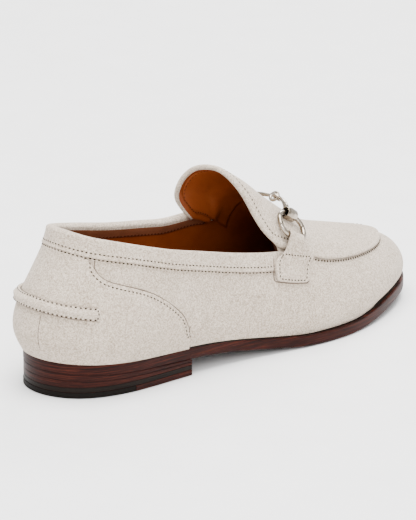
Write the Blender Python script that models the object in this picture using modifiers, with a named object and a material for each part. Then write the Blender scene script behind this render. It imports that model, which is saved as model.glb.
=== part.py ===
"""A bit loafer for the right foot: suede upper with an apron and tongue, collar band, counter, heel band,
two strap tabs, a linked metal bit, leather outsole and a stacked heel.

+Y runs towards the toe, +X to the outer side and +Z up. The shoe stands on Z 0 over the origin.
The upper and all that lies on it come from one function, last_point, which gives the form of the last.
"""

import math

import bmesh
import bpy
import numpy as np
from mathutils import Matrix, Vector

mm = 0.001

# Driving sizes of the shoe
LENGTH = 268 * mm  # outsole, heel to toe
BALL_WIDTH = 88 * mm  # outsole across the ball
HEEL_LIFT = 13.6 * mm  # under the sole at the back
TOE_SPRING = 6 * mm
BACK_HEIGHT = 87 * mm  # floor to the top of the collar at the back
INSTEP_HEIGHT = 104 * mm  # floor to the crown of the last, which the tongue follows
GAP = 0.3 * mm  # between pieces that meet

# Thicknesses
SOLE = 6.2 * mm
WALL = 1.8 * mm  # suede and lining together
INSOLE = 2.2 * mm
APRON = 1.6 * mm
COUNTER = 0.9 * mm
BAND = 1.1 * mm  # collar band
HEEL_BAND = 1.5 * mm
STRAP = 1.2 * mm

# Sole and heel
FRONT_MARGIN = 2.6 * mm  # how far the sole stands out past the upper
BACK_MARGIN = 0.5 * mm
LASTING_MARGIN = 9 * mm  # upper turned in under the foot
INSOLE_INSET = 3.4 * mm  # insole in from the feather edge
EDGE_ROUND = 0.8 * mm
BREAST = 0.295  # share of length where the heel ends
BREAST_BOW = 3 * mm
TOP_PIECE = 2.9 * mm
DARK_LIFT = 2.4 * mm
LIFTS = 2  # stacked leather lifts under the sole
TOP_PIECE_JOINT = 0.15  # share of length where rubber meets leather

# Collar band, counter and heel band
COLLAR_DEPTH = 8.4 * mm  # outside leg of the band
COLLAR_INNER_DEPTH = 4.5 * mm
COLLAR_PLAY = 0.5 * mm  # between the band and the edge that it wraps
COLLAR_END = 0.507  # share of length
THROAT = 0.535  # share of length where the collar gives way to the vamp
HEEL_BAND_WIDTH = 6.4 * mm
HEEL_BAND_END = 0.0605

# Strap tabs and bit
BIT_PLACE = 0.577  # share of length where a ring lies
RING_LOW = 0.503  # climb up the section to a ring's lower wire
RING_WIRE = 3.0 * mm
RING_LENGTH = 23 * mm
RING_WIDTH = 18 * mm
RING_SQUARENESS = 2.5  # 2 is an oval
RING_TILT = 20  # degrees, its front end down along the instep
STRAP_NECK_WIDTH = 10 * mm
STRAP_PLAY = 0.5 * mm  # round a ring's wire
EYE_WIRE = 1.7 * mm
EYE_PLAY = 0.5 * mm  # round a ring's wire
EYE_LENGTH = 8.4 * mm  # of the broad eye, along the ring's wire
KNUCKLE_WIRE = 2.0 * mm
KNUCKLE_RADIUS = 2.4 * mm  # to the middle of its wire
KNUCKLE_PLACE = 0.607  # share of length
KNUCKLE_CLIMB = 0.94
KNUCKLE_PLAY = 1.1 * mm  # over the apron
LINK_WIRE = 3.6 * mm
LINK_ARCH = 1.1 * mm  # of the bars, over the arch of the apron

STATIONS = 32  # from the heel to the toe on each side
WALL_ROWS = 7
CAP_ROWS = 4

# Outline of the sole, outer side first: along as a share of length, out as a share of ball width
OUTLINE = (
    (0.000, -0.025), (0.030, 0.210), (0.110, 0.339), (0.220, 0.364), (0.340, 0.368), (0.460, 0.396),
    (0.580, 0.458), (0.690, 0.470), (0.800, 0.394), (0.900, 0.253), (0.975, 0.079), (1.000, -0.087),
    (0.975, -0.250), (0.900, -0.389), (0.800, -0.483), (0.700, -0.518), (0.590, -0.459), (0.460, -0.348),
    (0.340, -0.314), (0.220, -0.345), (0.110, -0.352), (0.030, -0.258), (0.000, -0.025),
)
# Underside of the sole: along, share of heel lift, share of toe spring. What falls below 0 is flat at 0.
SOLE_LINE = (
    (0.00, 1.00, 0.00), (0.10, 0.85, 0.00), (0.24, 0.71, 0.00), (0.36, 0.57, 0.00), (0.48, 0.27, 0.00),
    (0.58, 0.02, 0.00), (0.65, -0.05, 0.00), (0.72, -0.01, 0.00), (0.80, 0.00, 0.33), (0.90, 0.00, 0.74),
    (1.00, 0.00, 1.00),
)
# Crown of the last: along, share of instep height, sideways as a share of ball width
CROWN = (
    (0.10, 0.930, 0.00), (0.25, 1.000, 0.02), (0.38, 0.988, 0.02), (0.48, 0.890, 0.01), (0.58, 0.728, -0.01),
    (0.68, 0.550, -0.03), (0.78, 0.455, -0.06), (0.88, 0.382, -0.08), (1.00, 0.275, -0.09),
)
CROWN_BACK = 0.17
CROWN_FRONT = 0.86
CROWN_BLEND = 0.019
# Form of each section: along, squareness, lean inwards, belly outwards as a share of ball width
SECTIONS = (
    (0.00, 5.0, 0.68, 0.125), (0.12, 5.0, 0.57, 0.098), (0.25, 4.0, 0.46, 0.071), (0.40, 3.1, 0.38, 0.049),
    (0.46, 2.7, 0.31, 0.045), (0.53, 2.2, 0.16, 0.043), (0.60, 2.0, 0.05, 0.043), (0.70, 2.1, 0.00, 0.049),
    (0.80, 2.3, 0.00, 0.049), (0.90, 2.5, 0.00, 0.049), (1.00, 2.5, 0.00, 0.049),
)
LEAN_START = 1.6  # powers of the lean and the belly with height
BELLY_START = 0.7
# Top edge of the collar: along, share of back height on the outer side, rise of the inner side over it
TOPLINE = (
    (0.000, 1.000, 0.00), (0.020, 0.987, 0.00), (0.090, 0.949, 0.00), (0.175, 0.891, 0.01),
    (0.250, 0.823, 0.02), (0.330, 0.762, 0.035), (0.400, 0.709, 0.055), (0.485, 0.655, 0.085),
    (0.560, 0.622, 0.08), (0.640, 0.600, 0.08),
)
# Edge of the apron: along, climb up the section from 0 at the sole to 1 at the crown, rise of the inner side
APRON_EDGE = (
    (0.45, 0.380, 0.035), (0.50, 0.393, 0.066), (0.55, 0.420, 0.030), (0.62, 0.458, 0.000),
    (0.66, 0.472, 0.000), (0.71, 0.493, 0.000), (0.77, 0.510, 0.000), (0.83, 0.540, 0.000),
    (0.90, 0.608, 0.000), (0.94, 0.656, 0.000), (0.98, 0.690, 0.000), (1.00, 0.700, 0.000),
)
# End of the tongue: share of the way down from its middle, along on the outer side and on the inner side
TONGUE_END = (
    (0.00, 0.432, 0.432), (0.24, 0.432, 0.434), (0.40, 0.441, 0.432), (0.59, 0.457, 0.426),
    (0.75, 0.468, 0.422), (0.87, 0.480, 0.422), (0.95, 0.496, 0.431), (1.00, 0.516, 0.452),
)
TONGUE_FADE = 0.62  # share of length where the rows across the apron are straight again
# Front edge of the counter: around from the back as a share of the outline, share of back height
COUNTER_TOP = (
    (0.053, 0.790), (0.056, 0.765), (0.061, 0.735), (0.071, 0.700), (0.090, 0.656), (0.114, 0.584),
    (0.129, 0.513), (0.143, 0.425),
)
# The same edge where it goes down to the sole: share of its height, around
COUNTER_FRONT = ((0.00, 0.155), (0.35, 0.153), (0.70, 0.149), (1.00, 0.143))
# Middle of the heel band: around, share of back height
HEEL_BAND_LINE = ((0.000, 0.567), (0.025, 0.556), (0.048, 0.539), (0.070, 0.520))
# Strap tab from its foot up to the ring: along and climb at its rear edge, along and climb at its front edge,
# and 1 where it lies over the apron
STRAP_ROWS = (
    (0.510, 0.222, 0.594, 0.283, 0), (0.511, 0.255, 0.598, 0.315, 0), (0.513, 0.290, 0.603, 0.352, 0),
    (0.517, 0.330, 0.610, 0.395, 0), (0.532, 0.368, 0.614, 0.423, 1), (0.543, 0.402, 0.616, 0.445, 1),
)


def cubic(table, at, column=1, loop=False):
    """Smooth curve through one column of a table; the table's first column says where its rows lie"""
    rows = np.asarray(table, float)
    knots, values = rows[:, 0], rows[:, column]
    last = len(knots) - 1
    step = np.diff(knots)
    rise = np.diff(values) / step
    bend = np.eye(last + 1)
    pull = np.zeros(last + 1)
    for i in range(1, last):
        bend[i, i - 1:i + 2] = step[i - 1], 2 * (step[i - 1] + step[i]), step[i]
        pull[i] = 6 * (rise[i] - rise[i - 1])
    if loop:
        bend[0, [0, 1, last - 1]] = 2 * (step[-1] + step[0]), step[0], step[-1]
        pull[0] = 6 * (rise[0] - rise[-1])
        bend[last, 0] = -1
    curve = np.linalg.solve(bend, pull)
    at = np.asarray(at, float)
    at = knots[0] + (at - knots[0]) % (knots[-1] - knots[0]) if loop else np.clip(at, knots[0], knots[-1])
    i = np.clip(np.searchsorted(knots, at, side="right") - 1, 0, last - 1)
    a = (knots[i + 1] - at) / step[i]
    b = 1 - a
    swell = (a ** 3 - a) * curve[i] + (b ** 3 - b) * curve[i + 1]
    return a * values[i] + b * values[i + 1] + swell * step[i] ** 2 / 6


def ease(low, high, x):
    share = np.clip((x - low) / (high - low), 0, 1)
    return share * share * (3 - 2 * share)


def soft_clamp(x, low, high, blend):
    x = low + blend * np.log1p(np.exp(np.clip((x - low) / blend, -40, 40)))
    return high - blend * np.log1p(np.exp(np.clip((high - x) / blend, -40, 40)))


def outline_table():
    points = np.array([(out * BALL_WIDTH, along * LENGTH) for along, out in OUTLINE])
    run = np.r_[0, np.cumsum(np.linalg.norm(np.diff(points, axis=0), axis=1))]
    return np.c_[run / run[-1], points]


OUTLINE_ROUND = outline_table()


def outline(u):
    """Edge of the sole at u, which runs from 0 at the back by the outer side and the toe to 1"""
    return np.stack([cubic(OUTLINE_ROUND, u, 1, True), cubic(OUTLINE_ROUND, u, 2, True)], -1)


def outline_normal(u):
    near = 0.001
    run = outline(np.asarray(u) + near) - outline(np.asarray(u) - near)
    run /= np.linalg.norm(run, axis=-1)[..., None]
    return np.stack([run[..., 1], -run[..., 0]], -1)


def side_tables():
    """For each side, how far along the sole each u lies, from the back to the toe"""
    fine = np.linspace(0, 1, 4001)
    along = outline(fine)[:, 1]
    back = (fine[along.argmin()] + 0.5) % 1 - 0.5
    toe = fine[along.argmax()]
    tables = {}
    for side, start in ((1, back), (-1, back + 1)):
        u = np.linspace(start, toe, 2001)
        share = outline(u)[:, 1]
        share = (share - share[0]) / (share[-1] - share[0])
        tables[side] = np.maximum.accumulate(share), u
    return tables


SIDES = side_tables()


def around(t, side):
    """u at the share t of the length, on the outer side for 1 and the inner side for -1"""
    return np.interp(t, *SIDES[side])


def sole_under(y):
    t = y / LENGTH
    return np.maximum(HEEL_LIFT * cubic(SOLE_LINE, t) + TOE_SPRING * cubic(SOLE_LINE, t, 2), 0)


def feather(u, inset=0.0):
    """Edge where the upper meets the sole, or a line inside it"""
    edge = outline(u)
    margin = BACK_MARGIN + (FRONT_MARGIN - BACK_MARGIN) * ease(0.42, 0.62, edge[..., 1] / LENGTH)
    xy = edge - outline_normal(u) * (margin + inset)[..., None]
    return np.concatenate([xy, (sole_under(xy[..., 1]) + SOLE + GAP)[..., None]], -1)


def crown(t):
    return np.stack([cubic(CROWN, t, 2) * BALL_WIDTH, t * LENGTH, cubic(CROWN, t) * INSTEP_HEIGHT], -1)


def last_point(u, v):
    """Point of the last: v climbs the section from 0 at the feather edge to 1 at the crown"""
    u, v = np.broadcast_arrays(np.asarray(u, float), np.asarray(v, float))
    foot = feather(u)
    t = outline(u)[..., 1] / LENGTH
    top_t = soft_clamp(t, CROWN_BACK, CROWN_FRONT, CROWN_BLEND)
    top = crown(top_t)
    square, lean, belly = (cubic(SECTIONS, t, column) for column in (1, 2, 3))
    up = np.clip(np.sin(v * math.pi / 2), 0, 1) ** (2 / square)
    out = np.clip(np.cos(v * math.pi / 2), 0, 1) ** (2 / square)
    out = out - lean * up ** LEAN_START * (1 - up ** 4)
    span = foot[..., :2] - top[..., :2]
    width = np.linalg.norm(span, axis=-1)
    reach = out + belly * BALL_WIDTH / width * np.sin(math.pi * up ** BELLY_START) * (1 - up)
    near = 0.004
    slope = (crown(top_t + near) - crown(top_t - near))[..., 2] / (2 * near * LENGTH)
    z = foot[..., 2] + (top[..., 2] - foot[..., 2]) * up + slope * span[..., 1] * out * (1 - out)
    return np.concatenate([top[..., :2] + span * reach[..., None], z[..., None]], -1)


def last_normal(u, v):
    near = 0.002
    v = np.clip(v, 2 * near, 1 - 5 * near)
    around_it = last_point(np.asarray(u) + near, v) - last_point(np.asarray(u) - near, v)
    up_it = last_point(u, v + near) - last_point(u, v - near)
    normal = np.cross(around_it, up_it)
    return normal / np.linalg.norm(normal, axis=-1)[..., None]


def raised(u, v, lift):
    return last_point(u, v) + last_normal(u, v) * np.asarray(lift)[..., None]


FINE = np.linspace(0, 1, 121)


def climb_to_height(u, height):
    """v at which each section reaches a height"""
    sections = last_point(np.asarray(u)[:, None], FINE * 0.97)
    return np.array([np.interp(h, s[:, 2], FINE * 0.97) for h, s in zip(height, sections)])


def even_climb(u, low, high, rows):
    """v of points that lie evenly along each section between two climbs"""
    v = low[:, None] + (high - low)[:, None] * FINE
    steps = np.linalg.norm(np.diff(last_point(np.asarray(u)[:, None], v), axis=1), axis=2)
    run = np.c_[np.zeros(len(v)), np.cumsum(steps, axis=1)]
    share = np.linspace(0, 1, rows + 1)
    return np.array([np.interp(share * r[-1], r, line) for r, line in zip(run, v)])


def climb_by(u, start, distance):
    """v reached from a start by going a distance along each section"""
    v = np.clip(start[:, None] + np.linspace(-0.35, 0.25, 241), 0, 1)
    steps = np.linalg.norm(np.diff(last_point(np.asarray(u)[:, None], v), axis=1), axis=2)
    run = np.c_[np.zeros(len(v)), np.cumsum(steps, axis=1)]
    return np.array([
        np.interp(np.interp(s, line, r) + d, r, line) for s, d, r, line in zip(start, distance, run, v)
    ])


def topline(t, side):
    height = cubic(TOPLINE, t) + (cubic(TOPLINE, t, 2) if side < 0 else 0)
    return height * BACK_HEIGHT - COLLAR_PLAY - BAND


def even_turn(count):
    """Shares of the length that lie closer at the heel and toe, where the outline turns"""
    return (1 - np.cos(np.linspace(0, math.pi, count + 1))) / 2


def clear_scene():
    for item in list(bpy.data.objects):
        bpy.data.objects.remove(item, do_unlink=True)


def finish(name, colour, roughness, metallic=0.0):
    material = bpy.data.materials.new(name)
    material.use_nodes = True
    shader = material.node_tree.nodes["Principled BSDF"]
    shader.inputs["Base Color"].default_value = (*colour, 1)
    shader.inputs["Roughness"].default_value = roughness
    shader.inputs["Metallic"].default_value = metallic
    return material


def add_object(name, mesh, material, collection):
    mesh.materials.clear()
    mesh.materials.append(material)
    item = bpy.data.objects.new(name, mesh)
    collection.objects.link(item)
    mesh.shade_smooth()
    mesh.set_sharp_from_angle(angle=math.radians(40))
    return item


def mesh_of(name, grids, closed=False, merge=0.02 * mm):
    """One mesh of several grids of points; the grids of an open one are wound so that its faces point out"""
    body = bmesh.new()
    for points, flip in grids:
        rows = [[body.verts.new(p) for p in row] for row in points]
        for low, high in zip(rows, rows[1:]):
            for a, b, c, d in zip(low, low[1:], high[1:], high):
                body.faces.new((d, c, b, a) if flip else (a, b, c, d))
    bmesh.ops.remove_doubles(body, verts=body.verts, dist=merge)
    bmesh.ops.dissolve_degenerate(body, edges=body.edges, dist=merge)
    if closed:
        bmesh.ops.recalc_face_normals(body, faces=body.faces)
    mesh = bpy.data.meshes.new(name)
    body.to_mesh(mesh)
    body.free()
    return mesh


def wall(item, thickness, offset, lift=0.0):
    """Gives an open surface its thickness: offset -1 grows it inwards and 1 outwards"""
    if lift:
        shift = item.modifiers.new("lift", "DISPLACE")
        shift.strength = lift
        shift.mid_level = 0
    solid = item.modifiers.new("wall", "SOLIDIFY")
    solid.thickness = thickness
    solid.offset = offset
    solid.use_even_offset = True
    solid.use_quality_normals = True


def round_edges(item, width, segments, angle=50):
    bevel = item.modifiers.new("edge", "BEVEL")
    bevel.width = width
    bevel.segments = segments
    bevel.limit_method = "ANGLE"
    bevel.angle_limit = math.radians(angle)
    bevel.use_clamp_overlap = True


def slab_rows(shares, columns, bow=0.0, inset=0.0):
    """Rows of places across the sole, bowed backwards in the middle towards the last row"""
    rows = []
    for t in shares:
        outer = feather(around(t, 1), inset)[:2] if inset else outline(around(t, 1))
        inner = feather(around(t, -1), inset)[:2] if inset else outline(around(t, -1))
        share = np.linspace(0, 1, columns)[:, None]
        row = outer + (inner - outer) * share
        row[:, 1] -= bow * (t / shares[-1]) ** 4 * (1 - (2 * share[:, 0] - 1) ** 2)
        rows.append(row)
    return np.array(rows)


def slab(name, rows, low, high, material, collection):
    """A layer of the sole between two heights, which are functions of the place along the sole"""
    top = np.concatenate([rows, high(rows[..., 1])[..., None]], -1)
    bottom = np.concatenate([rows, low(rows[..., 1])[..., None]], -1)
    edges = [np.stack([bottom[:, i], top[:, i]]) for i in (0, -1)]
    ends = [np.stack([bottom[i], top[i]]) for i in (0, -1)]
    grids = [(grid, False) for grid in [top, bottom] + edges + ends]
    return add_object(name, mesh_of(name, grids, closed=True), material, collection)


def build_sole(finishes, parts):
    rows = slab_rows(even_turn(STATIONS), 2)
    sole = slab("outsole", rows, sole_under, lambda y: sole_under(y) + SOLE, finishes["sole"], parts)
    round_edges(sole, EDGE_ROUND, 2)
    rows = slab_rows(even_turn(STATIONS), 2, inset=INSOLE_INSET)
    base = SOLE + GAP + WALL + GAP
    slab("insole", rows, lambda y: sole_under(y) + base, lambda y: sole_under(y) + base + INSOLE,
         finishes["lining"], parts)


def heel_shares(start, end):
    if start:
        return np.linspace(start, end, 4)
    return end * (1 - np.cos(np.linspace(0, math.pi / 2, 11)))


def build_heel(finishes, parts):
    joint = TOP_PIECE_JOINT
    back = slab_rows(heel_shares(0, joint), 5, BREAST_BOW)
    front = slab_rows(heel_shares(joint + GAP / LENGTH, BREAST), 5, BREAST_BOW)
    front[0, :, 1] = back[-1, :, 1] + GAP
    slab("heel_rubber", back, lambda y: 0 * y, lambda y: 0 * y + TOP_PIECE, finishes["rubber"], parts)
    slab("heel_leather_front", front, lambda y: 0 * y, lambda y: 0 * y + TOP_PIECE, finishes["heel"], parts)
    whole = slab_rows(heel_shares(0, BREAST), 5, BREAST_BOW)
    level = TOP_PIECE + GAP
    slab("heel_dark_lift", whole, lambda y: 0 * y + level, lambda y: 0 * y + level + DARK_LIFT,
         finishes["dark"], parts)
    level += DARK_LIFT + GAP

    def between(share):
        return lambda y: level + (sole_under(y) - level) * share

    for i in range(LIFTS):
        low, high = between(i / LIFTS), between((i + 1) / LIFTS)
        slab(f"heel_lift_{i + 1}", whole, low, lambda y, high=high: high(y) - GAP, finishes["heel"], parts)


def upper_edge(t, side):
    """Climb to the top edge of the upper's wall: the collar behind the throat, the apron's edge before it"""
    u = around(t, side)
    collar = climb_to_height(u, topline(t, side))
    return collar + (apron_edge(t, side) - collar) * ease(THROAT, THROAT + 0.05, t)


def apron_edge(t, side):
    return cubic(APRON_EDGE, t) + (cubic(APRON_EDGE, t, 2) if side < 0 else 0)


def build_upper(finishes, parts):
    turn = even_turn(STATIONS)
    turn[np.abs(turn - THROAT).argmin()] = THROAT
    grids = []
    for side in (1, -1):
        u = around(turn, side)
        edge = upper_edge(turn, side)
        v = even_climb(u, np.zeros(len(u)), edge, WALL_ROWS)
        under = feather(u, LASTING_MARGIN)[:, None]
        grids.append((np.concatenate([under, last_point(u[:, None], v)], 1), side > 0))
        front = turn >= THROAT
        v = even_climb(u[front], edge[front], np.ones(front.sum()), CAP_ROWS)
        grids.append((last_point(u[front, None], v), side > 0))
    mesh = mesh_of("upper", grids)
    close_fan(mesh)
    item = add_object("upper", mesh, finishes["suede"], parts)
    wall(item, WALL, -1)


def close_fan(mesh):
    """Joins the crowded points at the front end of the crown into one"""
    body = bmesh.new()
    body.from_mesh(mesh)
    tip = Vector(crown(np.array(CROWN_FRONT)))
    crowded = [p for p in body.verts if (p.co - tip).length < 1.6 * mm]
    if crowded:
        bmesh.ops.pointmerge(body, verts=crowded, merge_co=tip)
        bmesh.ops.dissolve_degenerate(body, edges=body.edges, dist=0.01 * mm)
    body.to_mesh(mesh)
    body.free()


def build_collar_band(finishes, parts):
    """A strip bent over the top edge, swept from one side of the throat round the heel to the other"""
    turn = even_turn(STATIONS)
    turn = np.r_[turn[turn < COLLAR_END - 0.02], COLLAR_END]
    u = np.r_[around(turn[::-1], 1), around(turn[1:], -1)]
    v = np.r_[climb_to_height(around(turn[::-1], 1), topline(turn[::-1], 1)),
              climb_to_height(around(turn[1:], -1), topline(turn[1:], -1))]
    near = COLLAR_PLAY
    outside = near + BAND
    far = -WALL - COLLAR_PLAY
    inside = far - BAND
    bend = (outside - inside) / 2
    section = [
        (near, -COLLAR_DEPTH), (outside, -COLLAR_DEPTH), (outside, -COLLAR_DEPTH / 2), (outside, 0),
        (outside - 0.3 * bend, 0.75 * outside), (outside - bend, outside), (inside + 0.3 * bend, 0.75 * outside),
        (inside, 0), (inside, -COLLAR_INNER_DEPTH), (far, -COLLAR_INNER_DEPTH), (far, near),
        (near, near), (near, -COLLAR_DEPTH / 2),
    ]
    columns = []
    for out, up in section:
        place = climb_by(u, v, np.full(len(u), min(up, 0.0)))
        point = raised(u, place, np.full(len(u), out))
        if up > 0:
            ahead = last_point(u, place + 0.004) - last_point(u, place - 0.004)
            point = point + ahead / np.linalg.norm(ahead, axis=1)[:, None] * up
        columns.append(point)
    grid = np.stack(columns + columns[:1], 1)
    mesh = mesh_of("collar_band", [(grid, True)])
    cap_ends(mesh)
    add_object("collar_band", mesh, finishes["suede"], parts)


def cap_ends(mesh):
    """Closes the open ends of a tube with a face each"""
    body = bmesh.new()
    body.from_mesh(mesh)
    edges = [e for e in body.edges if e.is_boundary]
    ends = bmesh.ops.holes_fill(body, edges=edges, sides=0)["faces"]
    bmesh.ops.recalc_face_normals(body, faces=body.faces)
    bmesh.ops.triangulate(body, faces=ends)
    body.to_mesh(mesh)
    body.free()


def round_to_along(u):
    """Share of the length that belongs to a u on the outer side"""
    return np.interp(u, SIDES[1][1], SIDES[1][0])


def along_to_round(t):
    return np.interp(t, SIDES[1][0], SIDES[1][1])


def mirrored_u(u, side):
    """The u itself on the outer side, or the one that lies opposite on the inner side"""
    return around(round_to_along(u), side)


def build_counter(finishes, parts):
    """Rear overlay between the sole and the collar band, whose front edge runs down to the sole"""
    stations = along_to_round(even_turn(STATIONS))
    knots = np.array([row[0] for row in COUNTER_TOP])
    places = np.unique(np.r_[stations[stations < knots[-1] - 0.004], knots])
    grids = []
    for side in (1, -1):
        u = mirrored_u(places, side)
        t = round_to_along(places)
        collar = climb_to_height(u, topline(t, side))
        limit = climb_by(u, collar, np.full(len(u), -COLLAR_DEPTH - GAP))
        edge = climb_to_height(u, cubic(COUNTER_TOP, places) * BACK_HEIGHT)
        top = np.where(places < knots[0], limit, np.minimum(edge, limit))
        rows = even_climb(u, np.zeros(len(u)), collar, WALL_ROWS)
        v = np.minimum(rows, top[:, None])
        corner = last_point(u[-1], top[-1])[2]
        heights = last_point(u[-1], v[-1])[:, 2]
        share = (heights - heights[0]) / (corner - heights[0])
        front = mirrored_u(cubic(COUNTER_FRONT, share), side)
        front_v = climb_to_height(front, heights)
        front_v[0] = 0
        u = np.r_[np.repeat(u[:-1, None], WALL_ROWS + 1, 1), front[None]]
        v = np.r_[v[:-1], front_v[None]]
        grids.append((last_point(u, v), side > 0))
    item = add_object("counter", mesh_of("counter", grids), finishes["suede"], parts)
    wall(item, COUNTER, 1, GAP)


def build_heel_band(finishes, parts):
    share = np.linspace(SIDES[1][1][0], HEEL_BAND_END, 9)
    grids = []
    for side in (1, -1):
        u = mirrored_u(share, side)
        middle = climb_to_height(u, cubic(HEEL_BAND_LINE, share) * BACK_HEIGHT)
        v = np.stack([climb_by(u, middle, np.full(len(u), HEEL_BAND_WIDTH * k)) for k in (-0.5, 0, 0.5)], 1)
        grids.append((last_point(u[:, None], v), side > 0))
    item = add_object("heel_band", mesh_of("heel_band", grids), finishes["suede"], parts)
    wall(item, HEEL_BAND, 1, GAP + COUNTER + GAP)


def build_apron(finishes, parts):
    """Top of the vamp and, behind the throat, the free tongue: each row sweeps forward from the crown"""
    turn = even_turn(STATIONS)
    tip = TONGUE_END[0][1]
    middle = np.r_[tip, turn[turn > tip + 0.012]]
    share = np.r_[0, 0.13, 0.26, 0.39, 0.52, 0.65, 0.77, 0.87, 0.95, 1]
    grids = []
    for side, column in ((1, 1), (-1, 2)):
        sweep = cubic(TONGUE_END, share, column) - tip
        t = middle[:, None] + sweep * (1 - ease(tip, TONGUE_FADE, middle))[:, None]
        u = around(t, side)
        v = 1 - (1 - apron_edge(t[:, -1:], side)) * share
        grids.append((last_point(u, v), side < 0))
    mesh = mesh_of("apron", grids)
    close_fan(mesh)
    item = add_object("apron", mesh, finishes["suede"], parts)
    wall(item, APRON, 1, GAP)


class RingPlace:
    """Where a ring lies over the apron: its middle and its directions along, across and out"""

    def __init__(self, side):
        u = around(BIT_PLACE, side)
        over = GAP + APRON + GAP
        strap_lift = over + GAP + STRAP + STRAP_PLAY + RING_WIRE / 2
        eye_lift = over + RING_WIRE / 2 + EYE_PLAY + EYE_WIRE
        low = raised(u, RING_LOW, strap_lift)
        climbs = np.linspace(RING_LOW, 0.95, 200)
        highs = raised(np.full(200, u), climbs, np.full(200, eye_lift))
        across = RING_WIDTH - RING_WIRE
        high = highs[np.abs(np.linalg.norm(highs - low, axis=1) - across).argmin()]
        self.side = side
        self.middle = Vector(low + high) / 2
        across = Vector(low - high).normalized()
        normal = Vector(last_normal(u, (RING_LOW + 0.7) / 2))
        self.out = (normal - across * normal.dot(across)).normalized()
        along = self.out.cross(across).normalized() * side
        tilt = math.radians(RING_TILT)
        self.along = along * math.cos(tilt) + across * math.sin(tilt)
        self.across = across * math.cos(tilt) - along * math.sin(tilt)
        reach = self.across * (RING_WIDTH - RING_WIRE) / 2
        self.low, self.high = self.middle + reach, self.middle - reach

    def wire(self, turn):
        """Middle of the ring's wire: turn 0 is its front, a quarter turn its lower side"""
        power = 2 / RING_SQUARENESS
        reach = (RING_LENGTH - RING_WIRE) / 2 * math.copysign(abs(math.cos(turn)) ** power, math.cos(turn))
        drop = (RING_WIDTH - RING_WIRE) / 2 * math.copysign(abs(math.sin(turn)) ** power, math.sin(turn))
        return self.middle + self.along * reach + self.across * drop

    def low_wire(self, reach):
        """Middle of the lower wire at a distance along the ring"""
        share = abs(reach) / ((RING_LENGTH - RING_WIRE) / 2)
        drop = (RING_WIDTH - RING_WIRE) / 2 * (1 - share ** RING_SQUARENESS) ** (1 / RING_SQUARENESS)
        return self.middle + self.along * reach + self.across * drop


def build_ring(place, name, finishes, parts):
    path = bpy.data.curves.new(name, "CURVE")
    path.dimensions = "3D"
    path.bevel_depth = RING_WIRE / 2
    path.bevel_resolution = 2
    path.use_fill_caps = True
    count = 28
    spline = path.splines.new("POLY")
    spline.points.add(count - 1)
    spline.use_cyclic_u = True
    for i, point in enumerate(spline.points):
        point.co = (*place.wire(2 * math.pi * (i + 0.5) / count), 1)
    path.materials.append(finishes["metal"])
    parts.objects.link(bpy.data.objects.new(name, path))


def build_strap(place, name, finishes, parts):
    """Tab: a foot on the upper, a neck, and a loop round the lower wire of the ring"""
    columns = 6
    share = np.linspace(0, 1, columns)
    rows = []
    for rear_t, rear_v, front_t, front_v, over in STRAP_ROWS:
        t = rear_t + (front_t - rear_t) * share
        v = rear_v + (front_v - rear_v) * share
        lift = GAP + over * (APRON + GAP * 2) + STRAP / 2
        rows.append(raised(around(t, place.side), v, np.full(columns, lift)))
    radius = RING_WIRE / 2 + STRAP_PLAY + STRAP / 2
    across, out = np.array(place.across), np.array(place.out)
    wire = np.array([place.low_wire(reach) for reach in (share - 0.5) * STRAP_NECK_WIDTH])
    loop = []
    for turn in np.radians(np.linspace(40, 262, 9)):
        loop.append(wire + radius * (math.cos(turn) * across + math.sin(turn) * out))
    foot, start = rows[-1], loop[0]
    tangent_foot = (rows[-1] - rows[-2]) * 0.8
    tangent_loop = (loop[1] - loop[0]) * 2
    for s in (0.33, 0.67):
        h = (2 * s ** 3 - 3 * s ** 2 + 1, s ** 3 - 2 * s ** 2 + s, 3 * s ** 2 - 2 * s ** 3, s ** 3 - s ** 2)
        rows.append(h[0] * foot + h[1] * tangent_foot + h[2] * start + h[3] * tangent_loop)
    grid = np.array(rows + loop)
    mesh = mesh_of(name, [(grid, place.side < 0)])
    item = add_object(name, mesh, finishes["suede"], parts)
    wall(item, STRAP, 0)


def add_torus(name, middle, axis, radius, wire, stretch, material, collection):
    """An eye: a ring of round wire, stretched along its axis"""
    bpy.ops.mesh.primitive_torus_add(
        major_segments=18, minor_segments=8, major_radius=radius, minor_radius=wire / 2)
    item = bpy.context.object
    for owner in list(item.users_collection):
        owner.objects.unlink(item)
    collection.objects.link(item)
    item.name = name
    turn = axis.normalized().to_track_quat("Z", "Y").to_matrix().to_4x4()
    item.data.transform(Matrix.Translation(middle) @ turn @ Matrix.Diagonal((1, 1, stretch, 1)))
    item.data.materials.append(material)
    item.data.shade_smooth()
    return item


def add_bar(name, start, end, arch, material, collection):
    """A round bar between two places, arched by a vector in its middle and thicker at its end"""
    grid = []
    for share in np.linspace(0, 1, 6):
        middle = start.lerp(end, share) + arch * 4 * share * (1 - share)
        ahead = end - start + arch * 4 * (1 - 2 * share)
        turn = ahead.to_track_quat("Z", "Y")
        radius = (KNUCKLE_WIRE + (LINK_WIRE - KNUCKLE_WIRE) * share) / 2
        angles = np.linspace(0, 2 * math.pi, 11)
        grid.append([middle + turn @ Vector((math.cos(a), math.sin(a), 0)) * radius for a in angles])
    mesh = mesh_of(name, [(grid, False)])
    cap_ends(mesh)
    return add_object(name, mesh, material, collection)


def join(item, other):
    union = item.modifiers.new("join", "BOOLEAN")
    union.operation = "UNION"
    union.solver = "EXACT"
    union.object = other
    other.hide_render = True
    other.display_type = "WIRE"


def knuckle_middle():
    """Middle of the bit, over the crown and clear of the apron"""
    lift = GAP + APRON + KNUCKLE_PLAY + KNUCKLE_RADIUS * math.sin(math.pi / 4) + KNUCKLE_WIRE / 2
    return Vector(raised(around(KNUCKLE_PLACE, 1), KNUCKLE_CLIMB, lift))


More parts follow.
